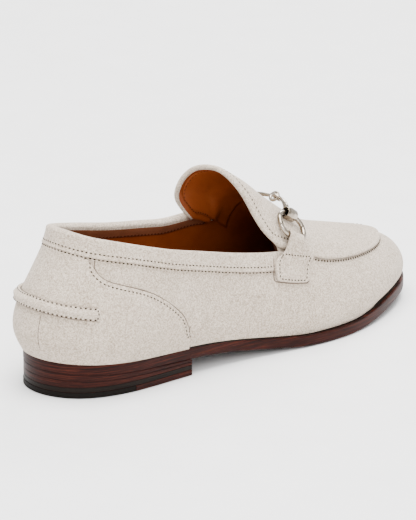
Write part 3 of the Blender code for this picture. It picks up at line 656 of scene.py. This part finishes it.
# The nearest places on a piece, and its normals there
def onto(tree, line, lift):
    places, normals = [], []
    for point in line:
        place, normal, _, _ = tree.find_nearest(Vector(point))
        places.append(np.array(place + normal * lift))
        normals.append(np.array(normal))
    return np.array(places), np.array(normals)


stitch = dict(length=1.6 * mm, width=0.82 * mm, height=0.48 * mm, step=2.4 * mm, sink=0.03 * mm, tuck=0.35)


# A plump thread end to end: a ball drawn out, with both ends tucked down
def oneStitch():
    deselect()
    bpy.ops.mesh.primitive_uv_sphere_add(segments=8, ring_count=6, radius=0.5)
    shape = bpy.context.object
    bpy.ops.object.mode_set(mode="EDIT")
    bpy.ops.mesh.select_all(action="SELECT")
    bpy.ops.transform.rotate(value=math.pi / 2, orient_axis="Y", center_override=(0, 0, 0))
    bpy.ops.object.mode_set(mode="OBJECT")
    points = np.array([v.co[:] for v in shape.data.vertices])
    faces = [tuple(face.vertices) for face in shape.data.polygons]
    bpy.data.objects.remove(shape)
    points[:, 2] -= (2 * points[:, 0]) ** 4 * stitch["tuck"]
    return points, faces


stitchPoints, stitchFaces = oneStitch()


# Copies of the one stitch along a line on a piece
def stitchRow(name, line, tree, material=thread, slant=0.0, scale=1.0, step=stitch["step"]):
    places, ahead = resample(line, step)
    vertices, faces = [], []
    size = np.array((stitch["length"], stitch["width"], stitch["height"])) * scale
    for place, way in zip(places, ahead):
        spot, normal, _, _ = tree.find_nearest(Vector(place))
        way = Vector(way) - normal * normal.dot(Vector(way))
        way.normalize()
        if slant:
            way.rotate(Quaternion(normal, slant))
        turn = Matrix((way, normal.cross(way), normal)).transposed()
        points = stitchPoints * size
        points = points @ np.array(turn).T + np.array(spot - normal * stitch["sink"])
        base = len(vertices) * len(points)
        vertices.append(points)
        faces += [tuple(base + i for i in face) for face in stitchFaces]
    piece = meshPiece(name, np.concatenate(vertices), faces, material)
    return settle(piece, "suede" if material is thread else "lining")


inward = dict(ends=30 * mm, axis=2 * mm, facing=0.05, throatTurn=-0.5, throatHeight=50 * mm)


# Gives the faces that look in at the foot another finish
def markInside(piece, index, middle):
    low, high = np.array(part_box("insole"))
    for face in piece.data.polygons:
        centre = face.center
        along = min(max(centre.y, low[1] + inward["ends"]), high[1] - inward["ends"])
        axis = Vector((inward["axis"], along, middle))
        throat = face.normal.y < inward["throatTurn"] and centre.z > inward["throatHeight"] and centre.y > 0
        if face.normal.dot((axis - centre).normalized()) > inward["facing"] or throat:
            face.material_index = index


# A closed seam, or a painted shadow line along the edge of an overlay: a thin dark line let into the surface
def seamLine(name, line, tree, radius=0.2 * mm, sink=0.08 * mm, material=thread):
    places, normals = onto(tree, line, -sink)
    return settle(tubePiece(name, places, radius, material, 6, outward=normals), "suede")


# Soft pieces over the solids
cutFaces = dict(above=35 * mm, beside=20 * mm, turn=-0.5)  # the wall's cut edge at the throat, given painted shade below

upper = smoothCopy("upper", "upperSuede", "suede", suede, lining, shadedLining, angle=60)
markInside(upper, 1, 35 * mm)
for face in upper.data.polygons:
    beyond = face.center.z > cutFaces["above"] and abs(face.center.x) > cutFaces["beside"]
    if face.material_index == 1 and face.normal.y < cutFaces["turn"] and beyond:
        face.material_index = 2  # dark, because the tongue shades it

counter = smoothCopy("counter", "counterSuede", "suede", suede, edge=smoothing["counter"])

# The collar band is swept along the last: its section wraps the wall, and is thin under the tongue
u, v, thin, leg = collarWay()
near = last["collarPlay"] - collarShape["thinInside"] * thin
outside = last["collarPlay"] + last["band"] - collarShape["thinOutside"] * thin
far, inside = -last["wall"] - last["collarPlay"], -last["wall"] - last["collarPlay"] - last["band"]
middle, bend = (outside + inside) / 2, (outside - inside) / 2
section = [(near, -leg)]
section += [(outside, -leg * share) for share in collarShape["legShares"]]
for turn in np.linspace(0, math.pi, collarShape["rollSteps"]):
    section.append((middle + bend * math.cos(turn), collarShape["roll"] * math.sin(turn)))
section += [(inside, -collarShape["innerLeg"] * 0.9), (inside, -collarShape["innerLeg"]),
            (far, -collarShape["innerLeg"]), (far, near[0]), (near, near[0]), (near, -collarShape["hem"])]
columns = []
for out, up in section:
    place = climbBy(u, v, np.minimum(up, 0.0))
    point = raised(u, place, out)
    if np.all(up > 0):
        ahead = lastPoint(u, place + 0.004) - lastPoint(u, place - 0.004)
        point = point + ahead / np.linalg.norm(ahead, axis=1)[:, None] * up
    columns.append(point)
rings = np.stack(columns, 1)
count, corners = rings.shape[:2]
faces = gridFaces(count, corners, loop=True)
faces += [tuple(range(corners)), tuple((count - 1) * corners + j for j in range(corners))]
collar = meshPiece("collarBandSuede", rings.reshape(-1, 3), faces, suede)
turnOut(collar)
choose(collar)
bpy.ops.object.shade_smooth_by_angle(angle=math.radians(50))
settle(collar, "suede", "collar_band")

heelBand = smoothCopy("heel_band", "heelBandSuede", "suede", suede, edge=smoothing["heelBand"], segments=3)
apron = smoothCopy("apron", "apronSuede", "suede", suede, lining, edge=smoothing["apron"], segments=3)
markInside(apron, 1, 20 * mm)

# Strap tabs: t and climb of a foot's rear edge, then of its front edge, from the foot upwards
strapTable = ((0.510, 0.222, 0.594, 0.283), (0.511, 0.255, 0.598, 0.315), (0.513, 0.290, 0.603, 0.352),
              (0.517, 0.330, 0.610, 0.395), (0.528, 0.375, 0.617, 0.440))
strapShape = dict(corner=2.6 * mm, cornerLift=0.9 * mm, cornerReach=1.3 * mm, shortEdge=1.6 * mm,
                  lift=0.65 * mm, out=0.86, up=0.5, liftFrom=(36.5 * mm, 47 * mm), liftTo=(58 * mm, 62 * mm))


# Rounds the two lower corners of a tab: bevels the short edges there
def roundFoot(strap, side):
    corners = []
    for t, v in (strapTable[0][:2], strapTable[0][2:]):
        corners.append(Vector(raised(around(t, side), v, strapShape["cornerLift"])))
    choose(strap)
    bpy.ops.object.mode_set(mode="EDIT")
    bpy.ops.mesh.select_mode(type="EDGE")
    bpy.ops.mesh.select_all(action="DESELECT")
    body = bmesh.from_edit_mesh(strap.data)
    for edge in body.edges:
        middle = (edge.verts[0].co + edge.verts[1].co) / 2
        close = min((middle - corner).length for corner in corners) < strapShape["cornerReach"]
        if edge.calc_length() < strapShape["shortEdge"] and close:
            edge.select = True
    bmesh.update_edit_mesh(strap.data)
    bpy.ops.mesh.bevel(offset=strapShape["corner"], segments=4, affect="EDGES", clamp_overlap=True)
    bpy.ops.object.mode_set(mode="OBJECT")


# The top of a foot lies on the collar band, its lower end on the upper
def liftOverBand(strap, side):
    spots = spotsOf(strap)
    share = ease(*strapShape["liftFrom"], spots[:, 2]) * (1 - ease(*strapShape["liftTo"], spots[:, 2]))
    out = np.array((strapShape["out"] * side, 0.0, strapShape["up"]))
    moveTo(strap, spots + out * (share * strapShape["lift"])[:, None])


straps = {}
for side, label in bothSides:
    strap = copyNode("strap_" + label, "strapSuede_" + label, suede)
    roundFoot(strap, side)
    smoothOut(strap, smoothing["strap"])
    liftOverBand(strap, side)
    straps[side] = settle(strap, "suede", "strap_" + label)
print("soft pieces: ready")

# Metal of the bit
bit = dict(voxel=0.2 * mm, polish=0.5, rounds=6)
for label in ("outer", "inner"):
    smoothCopy("bit_ring_" + label, "bitRing_" + label, "bit_metal", metal, angle=80)
    link = copyNode("bit_link_" + label, "bitLink_" + label, metal)
    cast = link.modifiers.new("cast", "REMESH")
    cast.mode = "VOXEL"
    cast.voxel_size = bit["voxel"]
    polish = link.modifiers.new("polish", "SMOOTH")
    polish.factor = bit["polish"]
    polish.iterations = bit["rounds"]
    applyAll(link)
    link.data.shade_smooth()
    settle(link, "bit_metal", "bit_link_" + label)
print("bit: ready")

# Sole and heel: the solids' shapes, smoothed between their sharp edges
for node, name, material, slot in (
        ("outsole", "outsoleLeather", soleEdge, "sole_leather"),
        ("heel_lift_2", "heelLiftUpper", heelEdge, "heel_leather"),
        ("heel_lift_1", "heelLiftLower", heelEdge, "heel_leather"),
        ("heel_dark_lift", "heelLiftDark", darkEdge, "dark_leather"),
        ("heel_rubber", "heelRubber", rubber, "rubber"),
        ("heel_leather_front", "heelLeatherFront", heelEdge, "heel_leather"),
        ("insole", "insoleSock", lining, "lining")):
    smoothCopy(node, name, slot, material, angle=45)
print("sole and heel: ready")

# Collar: bead under the band between two rows of stitches
collarTrim = dict(bead=0.75 * mm, beadLift=1.1 * mm, beadDrop=0.1 * mm, beadTuck=0.9 * mm, beadThinning=0.45,
                  upperRow=1.6 * mm, upperLift=2.2 * mm, lowerRow=1.3 * mm, lowerLift=1.6 * mm)
wallTree = treeOf(upper, counter)
rowClimb = climbBy(u, v, collarTrim["upperRow"] - leg)
stitchRow("collarStitches_upper", raised(u, rowClimb, collarTrim["upperLift"]), treeOf(collar))
beadClimb = climbBy(u, v, -leg - collarTrim["beadDrop"])
beadLine = raised(u, beadClimb, collarTrim["beadLift"])
beadLine -= lastNormal(u, beadClimb) * thin[:, None] * collarTrim["beadTuck"]
beadRadius = collarTrim["bead"] * (1 - collarTrim["beadThinning"] * thin)
bead = tubePiece("collarBead", beadLine, beadRadius, suede, 10, outward=lastNormal(u, beadClimb))
settle(bead, "suede")
rowClimb = climbBy(u, v, -leg - collarTrim["lowerRow"])
stitchRow("collarStitches_lower", raised(u, rowClimb, collarTrim["lowerLift"]), wallTree)

# Facing inside the collar, over the band's inner leg, with stitches along its lower edge
facingSize = dict(top=0.2 * mm, fold=1.9 * mm, slope=4.5 * mm, wall=6.0 * mm, bottom=7.3 * mm,
                  stitches=6.6 * mm, thickness=0.4 * mm, overBand=0.25 * mm, overWall=0.35 * mm,
                  sag=0.15 * mm)
over, under = inside + facingSize["overBand"], -last["wall"] - facingSize["overWall"]
steps = [(facingSize["top"], over), (facingSize["fold"], over),
         (facingSize["slope"], (over + under) / 2 - facingSize["sag"]),
         (facingSize["wall"], under), (facingSize["bottom"], under)]
grid = [raised(u, climbBy(u, v, -down), lift) for down, lift in steps]
facingStrip = sheetPiece("collarFacing", np.array(grid), facing, facingSize["thickness"])
settle(facingStrip, "lining")
rowClimb = climbBy(u, v, -facingSize["stitches"])
stitchRow("facingStitches", raised(u, rowClimb, -3 * mm), treeOf(facingStrip), brownThread)
print("collar: ready")


# A line moved sideways over the surface, to its right as seen from outside
def beside(line, normals, distance):
    ahead = np.gradient(line, axis=0)
    right = np.cross(ahead, normals)
    return line + right / np.linalg.norm(right, axis=1)[:, None] * distance


# Counter: a row of stitches inside its edge, and a painted shadow line on the upper just outside that edge
counterTrim = dict(inset=2.0 * mm, edge=-0.45 * mm, line=0.32 * mm, lift=1.2 * mm, footT=0.155,
                   footClimb=0.02)
counterTree, upperTree = treeOf(counter), treeOf(upper)
places = np.linspace(counterTop[0][0], counterTop[-1][0], 60)
heights = cubic(counterTop, places) * last["back"]
for side, label in bothSides:
    start = counterTop[0][0]
    above = topline(start, side) - last["collarDepth"] - collarTrim["lowerRow"] - collarRise(start, side)
    ways = otherSide(np.r_[np.full(8, start), places[1:]], side)
    climbs = climbToHeight(ways, np.r_[np.linspace(above, heights[0], 8), heights[1:]])
    ways = np.r_[ways, otherSide(np.linspace(places[-1], counterTrim["footT"], 16)[1:], side)]
    climbs = np.r_[climbs, np.linspace(climbs[-1], counterTrim["footClimb"], 16)[1:]]
    line, normals = raised(ways, climbs, counterTrim["lift"]), lastNormal(ways, climbs)
    row = beside(line, normals, counterTrim["inset"] * side)
    stitchRow("counterStitches_" + label, row[1:-2], counterTree)
    # painted shadow line on the upper, just outside the counter's edge
    edge = beside(line, normals, counterTrim["edge"] * side)
    seamLine("counterEdgeShadow_" + label, edge[1:-4], upperTree, counterTrim["line"], 0.0, paintedEdgeShadow)

# Heel band: padded between two rows of stitches, which meet round its ends
heelTrim = dict(rows=2.7 * mm, end=0.0585, pad=1.2 * mm, half=2.3 * mm, skin=0.7 * mm, padLift=2.5 * mm,
                edge=3.3 * mm, line=0.25 * mm, step=2.6 * mm, endStep=1.7 * mm, endHalf=2.6 * mm)
bandTable = ((0.000, 0.567), (0.025, 0.556), (0.048, 0.539), (0.070, 0.520))  # t, height of the middle
bandPlaces = np.linspace(sides[1][1][0], heelTrim["end"], 40)
bandWays = np.r_[otherSide(bandPlaces[::-1], -1), otherSide(bandPlaces[1:], 1)]
bandHeights = cubic(bandTable, np.r_[bandPlaces[::-1], bandPlaces[1:]]) * last["back"]
bandMiddle = climbToHeight(bandWays, bandHeights)
padLine = raised(bandWays, bandMiddle, heelTrim["padLift"])
places = spotsOf(heelBand)
middles = np.linalg.norm(places[:, None] - padLine[None], axis=2)
nearest = middles.argmin(1)
outwards = lastNormal(bandWays, bandMiddle)[nearest]
offset = ((places - padLine[nearest]) * outwards).sum(1)
sideways = np.sqrt(np.maximum(middles.min(1) ** 2 - offset ** 2, 0))
swell = np.cos(np.clip(sideways / heelTrim["half"], 0, 1) * math.pi / 2) ** 1.5
swell *= (offset > -heelTrim["skin"]) * heelTrim["pad"]  # the inner face stays where it is
moveTo(heelBand, places + outwards * swell[:, None])
bandTree = treeOf(heelBand)
for sign, label in ((1, "upper"), (-1, "lower")):
    climbs = climbBy(bandWays, bandMiddle, sign * heelTrim["rows"])
    row = raised(bandWays, climbs, 3 * mm)
    stitchRow("heelBandStitches_" + label, row, bandTree, step=heelTrim["step"])
    # painted shadow line on the counter beyond each edge of the padded band
    climbs = climbBy(bandWays, bandMiddle, sign * heelTrim["edge"])
    edge = raised(bandWays, climbs, 1.2 * mm)
    seamLine("heelBandEdgeShadow_" + label, edge, counterTree, heelTrim["line"], 0.0, paintedEdgeShadow)
for side, label in bothSides:
    way = otherSide(np.full(9, heelTrim["end"]), side)
    middle = climbToHeight(way, np.full(9, cubic(bandTable, heelTrim["end"]) * last["back"]))
    climbs = climbBy(way, middle, np.linspace(-heelTrim["endHalf"], heelTrim["endHalf"], 9))
    stitchRow("heelBandEnd_" + label, raised(way, climbs, 3 * mm), bandTree, step=heelTrim["endStep"])

# Back seam below the heel band
backSeam = dict(t=0.0032, top=44.5 * mm, foot=21.5 * mm, lift=1.3 * mm)
way = np.full(20, around(backSeam["t"], 1))
climbs = climbToHeight(way, np.linspace(backSeam["top"], backSeam["foot"], 20))
seamLine("backSeam", raised(way, climbs, backSeam["lift"]), counterTree)
print("heel: ready")

# Tongue: rolled rim, lining, rows of stitches
tongue = dict(
    steps=46, fade=0.62, rim=1.45 * mm, rimLift=0.75 * mm, rimEnd=0.56, rimThin=0.62, rimFade=0.1,
    rowInset=3.9 * mm, rowEnd=0.575, rowLift=2.2 * mm, liningInset=2.9 * mm, liningLift=-0.1 * mm,
    liningThickness=0.5 * mm, liningSink=2.5 * mm, sinkReach=(0.500, 0.530), liningRow=1.1 * mm,
    liningRowEnd=0.50, liningRowLift=1.5 * mm, liningStep=2.0 * mm, liningScale=0.85,
)


# Places along the tongue's end, from one side's throat to the other, moved in from the edge
def tongueWay(inset, endT):
    ways, climbs = [], []
    for side, column in ((-1, 2), (1, 1)):
        share = np.linspace(0, 1, tongue["steps"])
        t = cubic(tongueTable, share, column) + inset / last["length"]
        edge = apronEdge(t, side)
        v = 1 - (1 - edge) * share
        front = np.linspace(t[-1], endT, 14)[1:] if endT > t[-1] else np.zeros(0)
        t, v = np.r_[t, front], np.r_[v, apronEdge(front, side)]
        u = around(t, side)
        width = climbBy(u, apronEdge(t, side), inset) if inset else apronEdge(t, side)
        v = np.maximum(v, width)
        if side < 0:  # the middle is counted once
            u, v = u[:0:-1], v[:0:-1]
        ways.append(u)
        climbs.append(v)
    return np.concatenate(ways), np.concatenate(climbs)


tongueShape = dict(
    cornerPlaces=(0.446, 0.500), corner=np.array((4.8, 1.2, -4.4)) * mm, cornerReach=14 * mm,
    hiddenReach=4.5 * mm, lobe=np.array((0.0, 5.2, 0.7)) * mm, lobeReach=34 * mm,
    lobeAcross=(-14 * mm, 8 * mm), lobeUp=(44 * mm, 60 * mm),
)
t = np.linspace(*tongueShape["cornerPlaces"], 12)
cornerLine = raised(around(t, -1), apronEdge(t, -1), 1.0 * mm)
u, v = tongueWay(0, tongue["rimEnd"])
tipLine = raised(u, v, 0)


# Moves the inner corner in and down inside the collar, and the outer half of the end forwards
def dressed(spots):
    toCorner = np.linalg.norm(spots[:, None] - cornerLine[None], axis=2).min(1)
    toTip = np.linalg.norm(spots[:, None] - tipLine[None], axis=2).min(1)
    corner = 1 - ease(0, tongueShape["cornerReach"], toCorner)
    lobe = (1 - ease(0, tongueShape["lobeReach"], toTip)) * ease(*tongueShape["lobeAcross"], spots[:, 0])
    lobe = lobe * ease(*tongueShape["lobeUp"], spots[:, 2])
    return spots + tongueShape["corner"] * corner[:, None] + tongueShape["lobe"] * lobe[:, None]


def dress(piece):
    moveTo(piece, dressed(spotsOf(piece)))


dress(apron)
hidden = dressed(cornerLine[2:])
for face in apron.data.polygons:
    if np.linalg.norm(hidden - np.array(face.center), axis=1).min() < tongueShape["hiddenReach"]:
        face.material_index = 1
first = int(np.linalg.norm(tipLine - cornerLine[2], axis=1).argmin())
u, v = u[first:], v[first:]
share = np.linspace(0, 1, len(u))
swell = np.minimum(ease(0, tongue["rimFade"], share), ease(0, tongue["rimFade"], 1 - share))
rimLine = raised(u, v, tongue["rimLift"])
rimRadius = tongue["rim"] * (tongue["rimThin"] + (1 - tongue["rimThin"]) * swell)
rim = tubePiece("tongueRim", rimLine, rimRadius, suede, 14, outward=lastNormal(u, v))
dress(rim)
settle(rim, "suede")
apronTree = treeOf(apron)
u, v = tongueWay(tongue["rowInset"], tongue["rowEnd"])
stitchRow("tongueStitches", dressed(raised(u, v, tongue["rowLift"])), apronTree)

tip = tongueTable[0][1] + tongue["liningInset"] / last["length"]
middle = np.linspace(tip, tongue["rowEnd"], 26)
share = np.linspace(0, 1, 30)
halves = []
for side, column in ((1, 1), (-1, 2)):
    sweep = cubic(tongueTable, share, column) - tongueTable[0][1]
    t = middle[:, None] + sweep * (1 - ease(tip, tongue["fade"], middle))[:, None]
    u = around(t, side)
    edge = apronEdge(t[:, -1], side)
    edge = climbBy(u[:, -1], edge, tongue["liningInset"])
    v = 1 - (1 - edge[:, None]) * share
    sink = tongue["liningSink"] * ease(*tongue["sinkReach"], t)
    halves.append(raised(u, v, tongue["liningLift"] - sink))
grid = np.concatenate([halves[1][:, ::-1], halves[0][:, 1:]], 1)
tongueLining = sheetPiece("tongueLining", grid, lining, tongue["liningThickness"], flip=True)
dress(tongueLining)
settle(tongueLining, "lining")
u, v = tongueWay(tongue["liningInset"] + tongue["liningRow"], tongue["liningRowEnd"])
line = dressed(raised(u, v, -tongue["liningRowLift"]))
stitchRow("liningStitches", line, treeOf(tongueLining), brownThread, step=tongue["liningStep"],
          scale=tongue["liningScale"])
print("tongue: ready")

# Seam between apron and vamp, with slanted stitches over it
mocSeam = dict(
    start=0.6, roll=1.25 * mm, flat=0.75, rollRise=0.7 * mm, rollSink=0.45 * mm, rollThin=0.6, endSink=0.5,
    ends=0.08, toe=(0.86, 0.97), toeDrop=0.55 * mm, drop=1.25 * mm, slant=0.7, step=2.4 * mm, scale=1.25,
    innerRow=2.4 * mm, innerPlaces=(0.66, 0.99),
)
t = (1 - np.cos(np.linspace(0.25 * math.pi, math.pi, 120))) / 2
t = mocSeam["start"] + (1 - mocSeam["start"]) * (t - t[0]) / (1 - t[0])
innerT = t[::-1][1:]
u = np.r_[around(t, 1), around(innerT, -1)]
v = np.r_[apronEdge(t, 1), apronEdge(innerT, -1)]
rollPlaces = raised(u, climbBy(u, v, mocSeam["rollRise"]), 3 * mm)
rollPlaces, normals = onto(apronTree, rollPlaces, -mocSeam["rollSink"])
share = np.linspace(0, 1, len(u))
fade = ease(0, mocSeam["ends"], share) * ease(0, mocSeam["ends"], share[::-1])
toe = ease(*mocSeam["toe"], np.r_[t, innerT])
down = (1 - fade) * mocSeam["roll"] * mocSeam["endSink"] + toe * mocSeam["toeDrop"]
rollPlaces -= normals * down[:, None]
rollRadius = mocSeam["roll"] * (mocSeam["rollThin"] + (1 - mocSeam["rollThin"]) * fade)
settle(tubePiece("mocRoll", rollPlaces, rollRadius, suede, 12, mocSeam["flat"], normals), "suede")
seamPlaces = raised(u, climbBy(u, v, -mocSeam["drop"]), 1.5 * mm)
stitchRow("apronStitches", seamPlaces, upperTree, slant=mocSeam["slant"], scale=mocSeam["scale"],
          step=mocSeam["step"])
t = np.linspace(*mocSeam["innerPlaces"], 60)
u = around(t, -1)
v = climbBy(u, apronEdge(t, -1), mocSeam["innerRow"])
stitchRow("apronStitches_inner", raised(u, v, 3 * mm), apronTree, step=mocSeam["step"])
print("apron: ready")

# Stitches of the strap tabs, and a painted shadow line round each foot's edge: a rectangle of stitches on
# each foot
strapTrim = dict(along=0.09, low=0.35, high=3.8, edge=0.03, edgeTop=(3.2, 3.6), edgeFoot=0.1, line=0.33 * mm,
                 step=2.2 * mm, lift=3.5 * mm, topLift=2.5 * mm, topFrom=3.2)


# A place on a strap's foot: across from its rear to its front edge, up by the table's rows
def strapPlace(across, up, side):
    rows = np.array(strapTable)
    index = np.clip(up, 0, len(rows) - 1)
    rearT, rearV, frontT, frontV = (np.interp(index, range(len(rows)), rows[:, k]) for k in range(4))
    below = np.minimum(up, 0) * (rows[1, 1] - rows[0, 1])
    rearV, frontV = rearV + below, frontV + below
    t, v = rearT + (frontT - rearT) * across, rearV + (frontV - rearV) * across
    lift = strapTrim["lift"] + strapTrim["topLift"] * (np.asarray(up) > strapTrim["topFrom"])
    return raised(around(t, side), v, lift * np.ones(np.shape(v)))


for side, label in bothSides:
    low, high, near = strapTrim["low"], strapTrim["high"], strapTrim["along"]
    corners = [(near, low), (1 - near, low), (1 - near, high), (near, high), (near, low)]
    strapTree = treeOf(straps[side])
    over, foot, (rearTop, frontTop) = strapTrim["edge"], strapTrim["edgeFoot"], strapTrim["edgeTop"]
    # painted shadow line on the upper and collar round the rear, lower and front edges of the foot
    border = [(-over, rearTop), (-over, foot), (over, -over * 3), (1 - over, -over * 3), (1 + over, foot),
              (1 + over, frontTop)]
    path = np.concatenate([np.array(a) + (np.array(b) - np.array(a)) * np.linspace(0, 1, 12)[:, None]
                           for a, b in zip(border, border[1:])])
    seamLine("strapEdgeShadow_" + label, strapPlace(path[:, 0], path[:, 1], side), treeOf(upper, collar),
             strapTrim["line"], 0.0, paintedEdgeShadow)
    for k, (first, second) in enumerate(zip(corners, corners[1:])):
        share = np.linspace(0.03, 0.97, 12)
        line = strapPlace(first[0] + (second[0] - first[0]) * share,
                          first[1] + (second[1] - first[1]) * share, side)
        stitchRow(f"strapStitches_{label}_{k + 1}", line, strapTree, step=strapTrim["step"])
print("straps: ready")

# Painted shadow line along the welt, where the upper meets the sole, and glue lines between the layers of
# the heel
weltShadow = dict(radius=0.42 * mm, inset=0.1 * mm, drop=0.15 * mm)
u = np.linspace(0, 1, 260, endpoint=False)
line = feather(u, -weltShadow["inset"]) + np.array(last["shift"]) - np.array((0, 0, weltShadow["drop"]))
settle(tubePiece("paintedWeltShadow", line, weltShadow["radius"], darkEdge, 8, closed=True), "dark_leather")

heelGlue = dict(breast=0.295, bow=3 * mm, low=1.2 * mm, intoSole=1.0 * mm, inset=0.55 * mm, half=35 * mm)
t = heelGlue["breast"] * (1 - np.cos(np.linspace(0, math.pi / 2, 40)))
outer, inner = outline(around(t, 1)), outline(around(t, -1))
across = np.linspace(0, 1, 14)[:, None]
front = outer[-1] + (inner[-1] - outer[-1]) * across
front[:, 1] -= heelGlue["bow"] * (1 - (2 * across[:, 0] - 1) ** 2)
ring = np.concatenate([inner[::-1], outer[1:], front[1:-1]])
centre = ring.mean(0)
ring = centre + (ring - centre) * (1 - heelGlue["inset"] / heelGlue["half"])
heights = [np.full(len(ring), heelGlue["low"]), soleUnder(ring[:, 1]) + heelGlue["intoSole"]]
vertices = np.concatenate([np.c_[ring + np.array(last["shift"][:2]), height] for height in heights])
count = len(ring)
faces = [(i, (i + 1) % count, count + (i + 1) % count, count + i) for i in range(count)]
faces += [tuple(range(count))[::-1], tuple(range(count, 2 * count))]
glue = meshPiece("heelGlue", vertices, faces, glueEdge, smooth=False)
turnOut(glue)
settle(glue, "dark_leather")
print("sole: ready")

# Camera at the photograph's angle
view = dict(azimuth=48.0, elevation=17.7, distance=2.153, lens=277.56, sensor=36,
            target=(0.00782, -0.01707, 0.05034))
azimuth, elevation = math.radians(view["azimuth"]), math.radians(view["elevation"])
back = Vector((math.sin(azimuth) * math.cos(elevation), -math.cos(azimuth) * math.cos(elevation),
               math.sin(elevation)))
cameraData = bpy.data.cameras.new("camera")
cameraData.sensor_fit = "VERTICAL"
cameraData.sensor_height = view["sensor"]
cameraData.lens = view["lens"]
cameraData.clip_end = 20
camera = bpy.data.objects.new("camera", cameraData)
camera.location = Vector(view["target"]) + back * view["distance"]
camera.rotation_euler = back.to_track_quat("Z", "Y").to_euler()
bpy.context.collection.objects.link(camera)
bpy.context.scene.camera = camera

# Floor and light
studio = dict(floor=6.0, floorDrop=0.4 * mm, world=(1.0, 1.0, 1.0), worldStrength=1.35, aim=(0, 0, 0.04))
softboxes = dict(  # place, size, power
    top=((0.15, -0.1, 1.9), (1.5, 1.5), 100.0), front=((1.5, -0.6, 0.7), (0.9, 0.7), 8.0),
    inside=((1.15, -1.05, 1.15), (0.7, 0.7), 18.0), side=((-0.9, 1.3, 1.1), (1.0, 0.8), 30.0),
)
deselect()
bpy.ops.mesh.primitive_grid_add(x_subdivisions=4, y_subdivisions=4, size=studio["floor"],
                                location=(0, 0, -studio["floorDrop"]))
floor = bpy.context.object
floor.name = "floor"
floor.data.materials.append(floorFinish)
world = bpy.data.worlds.new("studio")
world.use_nodes = True
world.node_tree.nodes["Background"].inputs["Color"].default_value = (*studio["world"], 1)
world.node_tree.nodes["Background"].inputs["Strength"].default_value = studio["worldStrength"]
bpy.context.scene.world = world
for name, (place, size, power) in softboxes.items():
    data = bpy.data.lights.new(name, "AREA")
    data.shape = "RECTANGLE"
    data.size, data.size_y = size
    data.energy = power
    lamp = bpy.data.objects.new(name, data)
    lamp.location = place
    lamp.rotation_euler = (Vector(place) - Vector(studio["aim"])).to_track_quat("Z", "Y").to_euler()
    bpy.context.collection.objects.link(lamp)
print("studio: ready")
